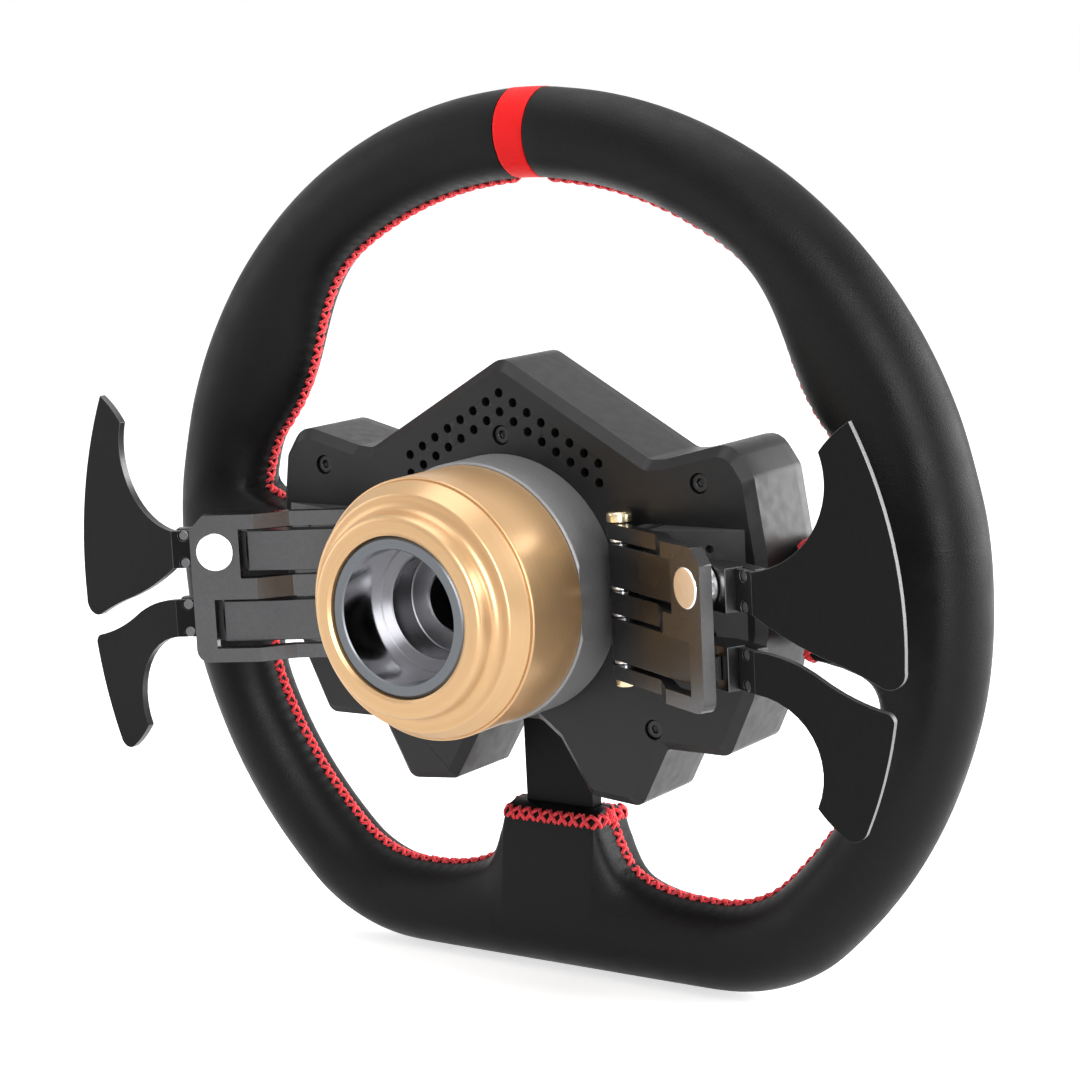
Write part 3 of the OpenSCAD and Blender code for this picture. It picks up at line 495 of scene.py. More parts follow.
@dataclass(frozen=True)
class Leather(Finish):
    """Fine-grained leather that is drawn tight, with a seam and its puckers.

    The groove deepens between two distances from the seam, and the puckers fade
    between two others.
    """

    shades: Pair = (0.86, 1.16)
    rough_by: Pair = (0.06, 0.07)
    grain_mm: float = 0.9
    crease: float = 0.16
    depth_mm: float = 0.05
    pore_scale: float = 1400.0
    wear_scale: float = 22.0
    gloss_scale: float = 90.0
    # Share of the colour left inside the seam groove: painted shade.
    in_groove: float = 0.25
    seamed: bool = True
    groove_mm: Pair = (0.15, 0.9)
    groove_depth_mm: float = 0.7
    pucker_mm: Pair = (1.0, 7.0)
    pucker_depth_mm: float = 0.16

    def detail(self, tree: Tree) -> None:
        """Add grain, wear, and the groove where the edges meet, with painted shade darkening the
        groove.
        """
        cells = tree.add("ShaderNodeTexVoronoi",
                         {"Vector": tree.coord, "Scale": 1.0 / (self.grain_mm * MM)},
                         feature="DISTANCE_TO_EDGE").outputs["Distance"]
        crease = tree.spread(cells, 0.0, 1.0, 0.0, self.crease)
        worn = tree.spread(tree.noise(self.wear_scale, 4.0), 0.0, 1.0, 0.35, 0.65)
        colour = self.tint(tree, worn)
        normal = tree.bump(tree.noise(self.pore_scale, 2.0), self.depth_mm / 2, 0.6)
        normal = tree.bump(crease, self.depth_mm, 0.5, normal)
        if self.seamed:
            gap = tree.add("ShaderNodeAttribute", attribute_name="from_seam").outputs["Fac"]
            run = tree.add("ShaderNodeAttribute", attribute_name="along_seam").outputs["Fac"]
            groove = tree.spread(gap, 0.0, 1.0, *self.groove_mm)
            near = tree.spread(gap, 1.0, 0.0, *self.pucker_mm)
            turn = tree.times(run, 2 * math.pi)
            wave = tree.add("ShaderNodeMath", {0: turn}, operation="SINE").outputs[0]
            normal = tree.bump(tree.times(wave, near), self.pucker_depth_mm, 0.8, normal)
            normal = tree.bump(groove, self.groove_depth_mm, 1.0, normal)
            # Painted shade: the colour darkens inside the seam's groove.
            colour = tree.blend(groove, self.shade(self.in_groove), colour)
        tree.feed("Base Color", colour)
        tree.feed("Roughness", self.uneven(tree, tree.noise(self.gloss_scale, 4.0)))
        tree.feed("Normal", normal)


@dataclass(frozen=True)
class Moulded(Finish):
    """Spark-textured moulded plastic with softened edges."""

    shades: Pair = (0.93, 1.07)
    rough_by: Pair = (0.05, 0.06)
    edge_mm: float = 0.0
    spark_mm: float = 0.02
    spark_scale: float = 2600.0
    mottle_scale: float = 35.0
    gloss_scale: float = 260.0

    def detail(self, tree: Tree) -> None:
        """Add the spark texture and faint mottling, and rounded edges where the mesh has none."""
        tree.feed("Base Color", self.tint(tree, tree.noise(self.mottle_scale)))
        tree.feed("Roughness", self.uneven(tree, tree.noise(self.gloss_scale)))
        under = tree.soft_edge(self.edge_mm) if self.edge_mm else None
        spark = tree.noise(self.spark_scale, 2.0)
        tree.feed("Normal", tree.bump(spark, self.spark_mm, 0.6, under))


@dataclass(frozen=True)
class Metal(Finish):
    """Metal, bare or anodised, with fine lines of its machining."""

    lines: Triple = (1.0, 1.0, 1.0)
    line_scale: float = 900.0
    depth_mm: float = 0.004
    smudge_scale: float = 45.0
    bare: float = 1.0

    def detail(self, tree: Tree) -> None:
        """Add machining lines and smudges."""
        grain = tree.noise(self.line_scale, coord=tree.stretched(*self.lines))
        tree.feed("Metallic", self.bare)
        tree.feed("Base Color", self.tint(tree, tree.spread(grain, 0.0, 1.0)))
        tree.feed("Roughness", self.uneven(tree, tree.noise(self.smudge_scale)))
        tree.feed("Normal", tree.bump(grain, self.depth_mm, 0.6))


@dataclass(frozen=True)
class Turned(Finish):
    """Metal turned in a lathe about the hub axis: fine rings, bright and clean."""

    shades: Pair = (0.96, 1.04)
    rough_by: Pair = (0.02, 0.04)
    pitch_mm: float = 0.25
    depth_mm: float = 0.002
    smudge_scale: float = 40.0
    bare: float = 1.0

    def detail(self, tree: Tree) -> None:
        """Add rings that depend on the distance from the axis and along it."""
        split = tree.add("ShaderNodeSeparateXYZ", {0: tree.coord})
        across = {0: split.outputs[0], 2: split.outputs[2]}
        flat = tree.add("ShaderNodeCombineXYZ", across).outputs[0]
        radius = tree.add("ShaderNodeVectorMath", {0: flat}, operation="LENGTH").outputs["Value"]
        rings = tree.add("ShaderNodeCombineXYZ", {0: radius, 1: split.outputs[1]}).outputs[0]
        cut = tree.noise(1.0 / (self.pitch_mm * MM), 2.0, rings)
        tree.feed("Metallic", self.bare)
        tree.feed("Base Color", self.tint(tree, tree.spread(cut, 0.0, 1.0)))
        tree.feed("Roughness", self.uneven(tree, tree.noise(self.smudge_scale)))
        tree.feed("Normal", tree.bump(cut, self.depth_mm, 0.5))


@dataclass(frozen=True)
class Thread(Finish):
    """Waxed sewing thread of twisted strands."""

    # The darker shade is painted shade between the strands, and the lighter one painted highlight
    # on their crests.
    shades: Pair = (0.72, 1.1)
    strand_mm: float = 0.35
    depth_mm: float = 0.08
    sheen: float = 0.25

    def detail(self, tree: Tree) -> None:
        """Add the twist of the strands, with painted shade between them and painted highlight on
        their crests.
        """
        inputs = {"Vector": tree.coord, "Scale": 1.0 / (self.strand_mm * MM) / 6.0,
                  "Distortion": 2.0, "Detail": 1.0}
        twist = tree.add("ShaderNodeTexWave", inputs, bands_direction="DIAGONAL").outputs["Fac"]
        # Painted shade and highlight: the colour follows the twist, darker between the strands and
        # lighter on them.
        tree.feed("Base Color", self.tint(tree, twist))
        tree.feed("Normal", tree.bump(twist, self.depth_mm, 0.7))
        tree.feed("Sheen Weight", self.sheen)


GRIP_LEATHER = Leather("grip_leather", (0.0045, 0.0045, 0.0047), 0.44, 0.12)
STRIPE_LEATHER = Leather("stripe_leather", (0.9, 0.012, 0.013), 0.5, 0.12, seamed=False)
RED_THREAD = Thread("red_thread", (0.85, 0.018, 0.03), 0.5, 0.3)
SHELL_PLASTIC = Moulded("shell_plastic", (0.0115, 0.0115, 0.012), 0.36, 0.25)
FRONT_PLASTIC = Moulded("front_plastic", (0.0125, 0.0125, 0.013), 0.3, 0.3)
BLOCK_PLASTIC = Moulded("block_plastic", (0.045, 0.045, 0.047), 0.42, 0.35)
FRAME_PAINT = Moulded("frame_paint", (0.005, 0.005, 0.0052), 0.42, 0.08, edge_mm=0.3)
BLACK_STEEL = Metal("black_steel", (0.02, 0.02, 0.021), 0.4, 0.4, bare=0.3)
ADAPTER_GREY = Metal("adapter_grey", (0.25, 0.25, 0.255), 0.42, 0.4, bare=0.25)
SLEEVE_GOLD = Turned("sleeve_gold", (0.6, 0.375, 0.185), 0.33, 0.5, bare=0.45)
SOCKET_LIP = Turned("socket_lip", (0.13, 0.14, 0.152), 0.38, 0.5, bare=0.7)
SOCKET_BORE = Turned("socket_bore", (0.85, 0.85, 0.87), 0.1, 0.5, bare=1.0)
SOCKET_STEP = Turned("socket_step", (0.15, 0.15, 0.16), 0.35, 0.5, bare=0.7)
SOCKET_DEEP = Turned("socket_deep", (0.09, 0.09, 0.095), 0.25, 0.5, bare=0.9)
BRACKET_GREY = Metal("bracket_grey", (0.076, 0.076, 0.078), 0.26, 0.5)
ARM_GREY = Metal("arm_grey", (0.068, 0.068, 0.07), 0.3, 0.5)
BLADE_BLACK = Metal("blade_black", (0.0115, 0.0115, 0.012), 0.5, 0.05, bare=0.0,
                    lines=(1.0, 1.0, 0.2))
# Cut walls and broken edges of the blades: the bare sheet, with a lighter colour that is partly
# painted highlight.
BLADE_CUT_AND_HIGHLIGHT = Metal("blade_cut", (0.1, 0.1, 0.103), 0.36, 0.5, bare=0.8)
PIN_BRASS = Metal("pin_brass", (0.62, 0.52, 0.34), 0.18, 0.5)
WASHER_STEEL = Metal("washer_steel", (0.78, 0.78, 0.8), 0.15, 0.5)
MAGNET_PLATE = Metal("magnet_plate", (0.86, 0.86, 0.87), 0.2, 0.5)
SCREW_STEEL = Metal("screw_steel", (0.12, 0.12, 0.125), 0.3, 0.5, bare=0.6)
BUTTON_RED = Moulded("button_red", (0.42, 0.012, 0.018), 0.3, 0.5)
BUTTON_GREY = Moulded("button_grey", (0.05, 0.05, 0.055), 0.35, 0.5)
KNOB_RUBBER = Moulded("knob_rubber", (0.02, 0.02, 0.022), 0.6, 0.4)
BOARD_GREEN = Moulded("board_green", (0.01, 0.07, 0.025), 0.3, 0.5, edge_mm=0.1)
SPRING_STEEL = Metal("spring_steel", (0.5, 0.5, 0.52), 0.25, 0.5)


# -------- studio


def shown_share(tree: bpy.types.NodeTree) -> Socket:
    """Return a share that is 1 to the eye, in metal and through glass, and 0 as light.

    Args:
        tree: The node tree to add it to.

    Returns:
        The share's socket.
    """
    path = tree.nodes.new("ShaderNodeLightPath")
    share = path.outputs["Is Camera Ray"]
    for kind in ("Is Glossy Ray", "Is Transmission Ray"):
        most = tree.nodes.new("ShaderNodeMath")
        most.operation = "MAXIMUM"
        tree.links.new(share, most.inputs[0])
        tree.links.new(path.outputs[kind], most.inputs[1])
        share = most.outputs[0]
    return share


@dataclass
class Studio:
    """Camera, lamps, world and floor."""

    eye: Triple = (-484.0, 674.4, 152.9)
    back: Triple = (-0.56495, 0.80823, 0.16608)
    roll: float = -2.81
    lens: float = 91.98
    sensor: float = 36.0
    sight: Pair = (0.01, 50.0)
    floor_z: float = -128.6
    floor_size: float = 60.0
    floor_grey: float = 0.92
    floor_rough: float = 0.9
    floor_glow: float = 0.62
    ambient: float = 0.5

    def set_camera(self) -> None:
        """Add the camera at its fitted place."""
        back = Vector(self.back).normalized()
        side = Vector((0, 0, 1)).cross(back).normalized()
        up = back.cross(side)
        c, s = cos_sin(self.roll)
        right, top = c * side + s * up, -s * side + c * up
        bpy.ops.object.camera_add()
        camera = bpy.context.active_object
        camera.name = "camera"
        frame = Matrix((right, top, back)).transposed().to_4x4()
        frame.translation = place(*self.eye)
        camera.matrix_world = frame
        camera.data.lens = self.lens
        camera.data.sensor_width = self.sensor
        camera.data.clip_start, camera.data.clip_end = self.sight
        bpy.context.scene.camera = camera

    def add_lamp(self, name: str, spot: Triple, size: Pair,
                 watts: float, diffuse: bool = True) -> None:
        """Add one rectangular soft lamp that faces the housing.

        Args:
            name: The lamp's name.
            spot: Its place, in millimetres.
            size: Its width and height in metres.
            watts: Its power.
            diffuse: Whether it lights matt surfaces too, or only draws highlights.
        """
        bpy.ops.object.light_add(type="AREA", location=place(*spot))
        lamp = bpy.context.active_object
        lamp.name = name
        lamp.data.shape = "RECTANGLE"
        lamp.data.size, lamp.data.size_y = size
        lamp.data.energy = watts
        lamp.rotation_euler = (place(0, 0, 0) - place(*spot)).to_track_quat("-Z", "Y").to_euler()
        lamp.visible_diffuse = diffuse

    def set_lamps(self) -> None:
        """Add the soft boxes."""
        self.add_lamp("key_box", (-1080, -700, 230), (1.4, 1.1), 44.0)
        self.add_lamp("back_box", (-820, 1080, 330), (0.5, 1.3), 30.0, diffuse=False)
        self.add_lamp("side_box", (1000, 500, 100), (0.6, 1.2), 5.0)
        self.add_lamp("top_box", (100, 0, 1200), (1.4, 0.8), 10.0)

    def set_world(self) -> None:
        """Make the world white to the eye and in reflections, and soft grey as light."""
        world = bpy.data.worlds.new("studio")
        bpy.context.scene.world = world
        world.use_nodes = True
        tree = world.node_tree
        tree.nodes.clear()
        out = tree.nodes.new("ShaderNodeOutputWorld")
        mix = tree.nodes.new("ShaderNodeMixShader")
        tree.links.new(shown_share(tree), mix.inputs[0])
        for socket, strength in ((1, self.ambient), (2, 1.0)):
            white = tree.nodes.new("ShaderNodeBackground")
            white.inputs[0].default_value = (1, 1, 1, 1)
            white.inputs[1].default_value = strength
            tree.links.new(white.outputs[0], mix.inputs[socket])
        tree.links.new(mix.outputs[0], out.inputs[0])

    def set_floor(self) -> None:
        """Add the pale floor under the rim."""
        clear_selection()
        bpy.ops.mesh.primitive_plane_add(size=self.floor_size,
                                         location=place(0, DATUM, self.floor_z))
        floor = named("floor")
        bpy.ops.object.transform_apply()
        tree = Tree("pale_floor")
        tree.feed("Base Color", (self.floor_grey,) * 3 + (1.0,))
        tree.feed("Roughness", self.floor_rough)
        tree.feed("Specular IOR Level", 0.0)
        lit = tree.shader.outputs[0]
        glow = tree.add("ShaderNodeEmission", {"Color": (1, 1, 1, 1), "Strength": self.floor_glow})
        both = tree.add("ShaderNodeAddShader", {0: lit, 1: glow.outputs[0]})
        share = shown_share(tree.material.node_tree)
        mix = tree.add("ShaderNodeMixShader", {0: share, 1: lit, 2: both.outputs[0]})
        tree.links.new(mix.outputs[0], tree.out.inputs[0])
        floor.data.materials.append(tree.material)

    def build(self) -> None:
        """Set up the whole studio."""
        bpy.context.scene.view_settings.view_transform = "Standard"
        self.set_camera()
        self.set_lamps()
        self.set_world()
        self.set_floor()
        LOG.info("studio ready")


# -------- rim


HAIR = 0.01
SEAM_BLOCK = 2000
SEAM_NEAR = 12.0
LANDING_REACH = 0.05
FACING_LEAST = 0.05


def inwards(angle: float) -> Vector:
    """Return the direction to the hub axis from an angle in degrees round the rim."""
    c, s = cos_sin(angle)
    return Vector((-c, 0, -s))


@dataclass
class Rim:
    """The leather-wrapped rim with its stripe, seams and stitches."""

    middle_r: float = 135.9
    grip_r: float = 14.1
    middle_y: float = -24.4
    flat_drop: float = 114.2
    corner_r: float = 50.0
    swell: float = 13.0
    swell_at: float = 30.0
    swell_spread: float = 24.0
    spoke_z: float = -2.0
    sleeve_half: float = 17.0
    sleeve_foot: float = 22.0
    side_reach: float = 30.0
    bottom_reach: float = 26.0
    inset_len: float = 10.0
    stripe_w: float = 10.5
    stripe_gap: float = 0.6
    round_step: float = 0.25
    corner_step: float = 0.8
    flat_step: float = 0.5
    sleeve_margin: float = 0.6
    seam_drop: float = 4.0
    seam_least: int = 4
    row_steps: int = 240
    row_drop: float = 40.0
    stitch_pitch: float = 4.05
    row_pitch: float = 4.1
    seam_lean: float = 46.0
    row_lean: float = 50.0
    over_lift: float = 0.16
    mouth_at: float = 77.6
    side_mouth: float = 95.2
    stitch_half: float = 2.1
    stitch_over: float = 1.25
    thread_r: float = 0.68
    thread_sides: int = 6
    thread_arch: tuple[float, ...] = (-0.5, 0.12, 0.42, 0.5, 0.42, 0.12, -0.5)
    wrap_rounds: int = 2
    wrap_crisp: float = 40.0
    corner_turn: float = 62.0
    corner_crease: float = 0.9
    body: str = "wheel_body"
    surface: BVHTree | None = field(default=None, repr=False)

    def foot(self, off: float, reach: float) -> float:
        """How far a sleeve stands in, at a distance off its spoke's middle."""
        if off <= self.sleeve_half:
            return reach
        return reach * max(0.0, 1.0 - (off - self.sleeve_half) / self.sleeve_foot) ** 3

    def swell_in(self, angle: float) -> float:
        """How far the grip swells inwards at an angle in degrees round the rim."""
        away = abs(angle - self.swell_at)
        if away > self.swell_spread:
            return 0.0
        return self.swell * (0.5 + 0.5 * math.cos(math.pi * away / self.swell_spread))

    def inner_edge(self) -> list[Seat]:
        """Follow the inner seam down the right side, from the stripe to the bottom.

        Returns:
            Points in millimetres in the rim's middle plane, each with the direction
            that faces inwards there, ordered from the top.
        """
        points: list[Seat] = []
        half_stripe = math.degrees(math.asin(self.stripe_w / 2 / self.middle_r))
        low_z = self.corner_r - self.flat_drop
        low_x = math.sqrt((self.middle_r - self.corner_r) ** 2 - low_z ** 2)
        turn_at = math.degrees(math.atan2(low_z, low_x))
        for a in np.arange(90.0 - half_stripe - self.stripe_gap, turn_at, -self.round_step):
            c, s = cos_sin(a)
            x, z = self.middle_r * c, self.middle_r * s
            off = abs(z - self.spoke_z)
            inward = self.grip_r + self.swell_in(a) + self.foot(off, self.side_reach)
            share = max(0.0, min(1.0, (off - self.sleeve_half) / self.inset_len))
            normal = inwards(a * share)
            points.append((Vector((x, self.middle_y, z)) + normal * inward, normal))
        for a in np.arange(turn_at, -90.0, -self.corner_step):
            c, s = cos_sin(a)
            x, z = low_x + self.corner_r * c, low_z + self.corner_r * s
            normal = inwards(a)
            points.append((Vector((x, self.middle_y, z)) + normal * self.grip_r, normal))
        for x in np.arange(low_x, self.sleeve_half - HAIR, -self.flat_step):
            z = -self.flat_drop + self.grip_r + self.foot(x, self.bottom_reach)
            points.append((Vector((x, self.middle_y, z)), Vector((0, 0, 1))))
        return points

    def rounded(self, node: str, name: str) -> Piece:
        """Copy a node's solid as a smooth wrap, with the corners of slots and ends crisp."""
        piece = twin(node, name, quads=True)
        with editing(piece):
            bpy.ops.mesh.select_mode(type="EDGE")
            bpy.ops.mesh.select_all(action="DESELECT")
            bpy.ops.mesh.edges_select_sharp(sharpness=math.radians(self.corner_turn))
            bpy.ops.transform.edge_crease(value=self.corner_crease)
        layer = piece.modifiers.new("round", "SUBSURF")
        layer.levels = layer.render_levels = self.wrap_rounds
        apply_all(piece)
        smooth(piece, self.wrap_crisp)
        return piece

    def wrap(self) -> None:
        """Model the smooth leather wrap over the node's solid."""
        leather = self.rounded("rim_grip", "rim_leather")
        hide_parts("rim_grip")
        shape = bmesh.new()
        shape.from_mesh(leather.data)
        self.surface = BVHTree.FromBMesh(shape)
        shape.free()
        self.mark_seam(leather)
        settle(leather, self.body, "grip_leather", GRIP_LEATHER)

    def mark_seam(self, piece: Piece) -> None:
        """Store on each point how far the seam is, and how far along it lies.

        The first is in millimetres, and the second in stitches.

        Args:
            piece: The finished leather.
        """
        path = [place(sign * point.x, point.y, point.z)
                for sign in (1, -1) for point, _ in self.inner_edge()]
        line = np.array([tuple(p) for p in path])
        half = len(line) // 2
        runs = []
        for part in (line[:half], line[half:]):
            lengths = np.linalg.norm(np.diff(part, axis=0), axis=1)
            runs.append(np.concatenate([[0], np.cumsum(lengths)]))
        run = np.concatenate(runs)
        count = len(piece.data.vertices)
        flat = np.zeros(count * 3, np.float32)
        piece.data.vertices.foreach_get("co", flat)
        spots = flat.reshape(-1, 3)
        gap = np.zeros(count)
        along = np.zeros(count)
        for start in range(0, count, SEAM_BLOCK):
            some = slice(start, start + SEAM_BLOCK)
            block = spots[some, None, :] - line[None, :, :]
            far = np.einsum("ijk,ijk->ij", block, block)
            best = far.argmin(1)
            gap[some] = np.sqrt(far[np.arange(len(best)), best]) / MM
            along[some] = run[best] / MM / self.stitch_pitch
        across = np.abs(spots[:, 1] - (self.middle_y - DATUM) * MM) / MM
        gap = np.where(gap < SEAM_NEAR, np.minimum(gap, across), gap)
        for name, values in (("from_seam", gap), ("along_seam", along)):
            layer = piece.data.attributes.new(name, "FLOAT", "POINT")
            layer.data.foreach_set("value", values.astype(np.float32))

    def stripe(self) -> None:
        """Model the coloured band at the top."""
        band = self.rounded("centre_stripe", "top_stripe")
        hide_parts("centre_stripe")
        settle(band, self.body, "stripe_red", STRIPE_LEATHER)

    def thread(self) -> Piece:
        """Model one short diagonal of thread, arched, lying along x with z outwards."""
        clear_selection()
        reach = self.stitch_half * self.stitch_over
        foot = self.thread_arch[0]
        bpy.ops.mesh.primitive_circle_add(vertices=self.thread_sides, radius=self.thread_r * MM,
                                          fill_type="NGON", location=(-reach * MM, 0, foot * MM),
                                          rotation=(0, math.pi / 2, 0))
        piece = named("thread_pattern")
        bpy.ops.object.transform_apply()
        step = 2 * reach * MM / (len(self.thread_arch) - 1)
        with editing(piece):
            for low, high in zip(self.thread_arch, self.thread_arch[1:]):
                bpy.ops.mesh.extrude_region_move(
                    TRANSFORM_OT_translate={"value": (step, 0, (high - low) * MM)})
            select_whole()
            bpy.ops.mesh.normals_make_consistent(inside=False)
        smooth(piece, THREAD_CRISP)
        return piece

    def seated(self, start: Vector, toward: Vector) -> Seat | None:
        """Drop a point onto the leather, and return its place and normal there, or None."""
        spot, normal, _, _ = self.surface.ray_cast(start, toward, LANDING_REACH)
        return None if spot is None else (spot, normal)

    def crosses(self, points: list[Seat], lean: float) -> list[Matrix]:
        """Work out the places of crossed threads along a run of seated points.

        Args:
            points: Places on the leather with the outward normal, a pitch apart.
            lean: Angle of each thread to the seam in degrees.

        Returns:
            Two matrices for each cross.
        """
        places: list[Matrix] = []
        for k, (spot, normal) in enumerate(points):
            before = points[max(0, k - 1)][0]
            after = points[min(len(points) - 1, k + 1)][0]
            along = (after - before).normalized()
            along = (along - normal * along.dot(normal)).normalized()
            across = normal.cross(along)
            for turn, lift in ((lean, 0.0), (-lean, self.over_lift)):
                c, s = cos_sin(turn)
                x = along * c + across * s
                y = normal.cross(x)
                matrix = Matrix((x, y, normal)).transposed().to_4x4()
                matrix.translation = spot + normal * lift * MM
                places.append(matrix)
        return places

    def spaced(self, points: list[Seat], pitch: float) -> list[Seat]:
        """Pick points a pitch apart along a finely stepped run."""
        run = [0.0]
        for k in range(1, len(points)):
            run.append(run[-1] + (points[k][0] - points[k - 1][0]).length / MM)
        count = max(1, round(run[-1] / pitch))
        wanted = [run[-1] * (k + 0.5) / count for k in range(count)]
        chosen, k = [], 0
        for target in wanted:
            while k < len(run) - 1 and run[k] < target:
                k += 1
            chosen.append(points[k])
        return chosen

    def seam_runs(self) -> list[list[Seat]]:
        """Seat the inner seam on the leather, in runs broken at the spokes."""
        runs: list[list[Seat]] = []
        for sign in (1, -1):
            current: list[Seat] = []
            for point, normal in self.inner_edge():
                if abs(point.z - self.spoke_z) < self.sleeve_half + self.sleeve_margin:
                    runs.append(current)
                    current = []
                    continue
                spot = place(sign * point.x, point.y, point.z)
                facing = Vector((sign * normal.x, 0, normal.z))
                landed = self.seated(spot + facing * self.seam_drop * MM, -facing)
                if landed and landed[1].dot(facing) > FACING_LEAST:
                    current.append(landed)
            runs.append(current)
        return [run for run in runs if len(run) > self.seam_least]

    def sleeve_rows(self) -> list[list[Seat]]:
        """Seat the closed rows that run round each sleeve's mouth.

        Returns:
            One closed run of seated points for each of the three sleeves.
        """
        y, z = self.middle_y, self.spoke_z
        mouths = [(Vector((0, y, -self.mouth_at)), Vector((1, 0, 0))),
                  (Vector((self.side_mouth, y, z)), Vector((0, 0, 1))),
                  (Vector((-self.side_mouth, y, z)), Vector((0, 0, -1)))]
        rows = []
        for centre, side in mouths:
            middle = place(*centre)
            row = []
            for k in range(self.row_steps + 1):
                turn = 2 * math.pi * k / self.row_steps
                way = side * math.cos(turn) + Vector((0, 1, 0)) * math.sin(turn)
                landed = self.seated(middle + way * self.row_drop * MM, -way)
                if landed:
                    row.append(landed)
            rows.append(row)
        return rows

    def stitches(self) -> None:
        """Sew the inner seam and the ends of the sleeves."""
        for name, runs, pitch, lean in (
                ("inner_seam_stitches", self.seam_runs(), self.stitch_pitch, self.seam_lean),
                ("sleeve_end_stitches", self.sleeve_rows(), self.row_pitch, self.row_lean)):
            spots = [spot for run in runs for spot in self.crosses(self.spaced(run, pitch), lean)]
            settle(rows_of(self.thread(), spots, name), self.body, "stripe_red", RED_THREAD)

    def build(self) -> None:
        """Make the whole rim."""
        self.wrap()
        self.stripe()
        self.stitches()
        dress("rim_frame", FRAME_PAINT)


# -------- housing


@dataclass
class Housing:
    """The control housing: rear shell, front plate and what closes them."""

    body: str = "wheel_body"
    shell_edge: float = 0.5
    plate_edge: float = 0.9
    screw_edge: float = 0.35
    probe_y: float = 300.0

    def clear_films(self, piece: Piece) -> None:
        """Clear the faces of no thickness that lie over the notch, where its flare meets a plane.

        A cut against a cube that stands clear of the piece resolves the piece with itself.

        Args:
            piece: The copy, in edit mode.
        """
        bpy.ops.object.mode_set(mode="OBJECT")
        clear_selection()
        bpy.ops.mesh.primitive_cube_add(size=MM, location=place(0, self.probe_y, 0))
        probe = named("probe")
        cut = piece.modifiers.new("films", "BOOLEAN")
        cut.operation, cut.solver = "DIFFERENCE", "EXACT"
        cut.use_self = True
        cut.object = probe
        apply_all(piece)
        bpy.data.meshes.remove(probe.data)
        bpy.context.view_layer.update()
        pick(piece)
        bpy.ops.object.mode_set(mode="EDIT")
        select_whole()
        bpy.ops.mesh.remove_doubles(threshold=WELD)

    def shell(self) -> None:
        """Ease the moulded rear shell and the plate that closes it."""
        for node, name, edge, finish in (
                ("rear_housing", "housing_shell", self.shell_edge, SHELL_PLASTIC),
                ("front_plate", "housing_front", self.plate_edge, FRONT_PLASTIC)):
            remade(node, name, self.body, "housing_black", edge, finish, mend=self.clear_films)

    def fasteners(self) -> None:
        """Round the heads of the screws that show."""
        remade("housing_screws", "housing_screw_heads", self.body, "screw_black", self.screw_edge,
               BLACK_STEEL)

    def build(self) -> None:
        """Make the housing and dress what it hides."""
        self.shell()
        self.fasteners()
        dress("circuit_board", BOARD_GREEN)
        dress("board_switches", BUTTON_GREY)
        dress("knob_encoders", SCREW_STEEL)
        dress("hub_spacer", SPRING_STEEL)
        dress("hub_bolts", BLACK_STEEL)


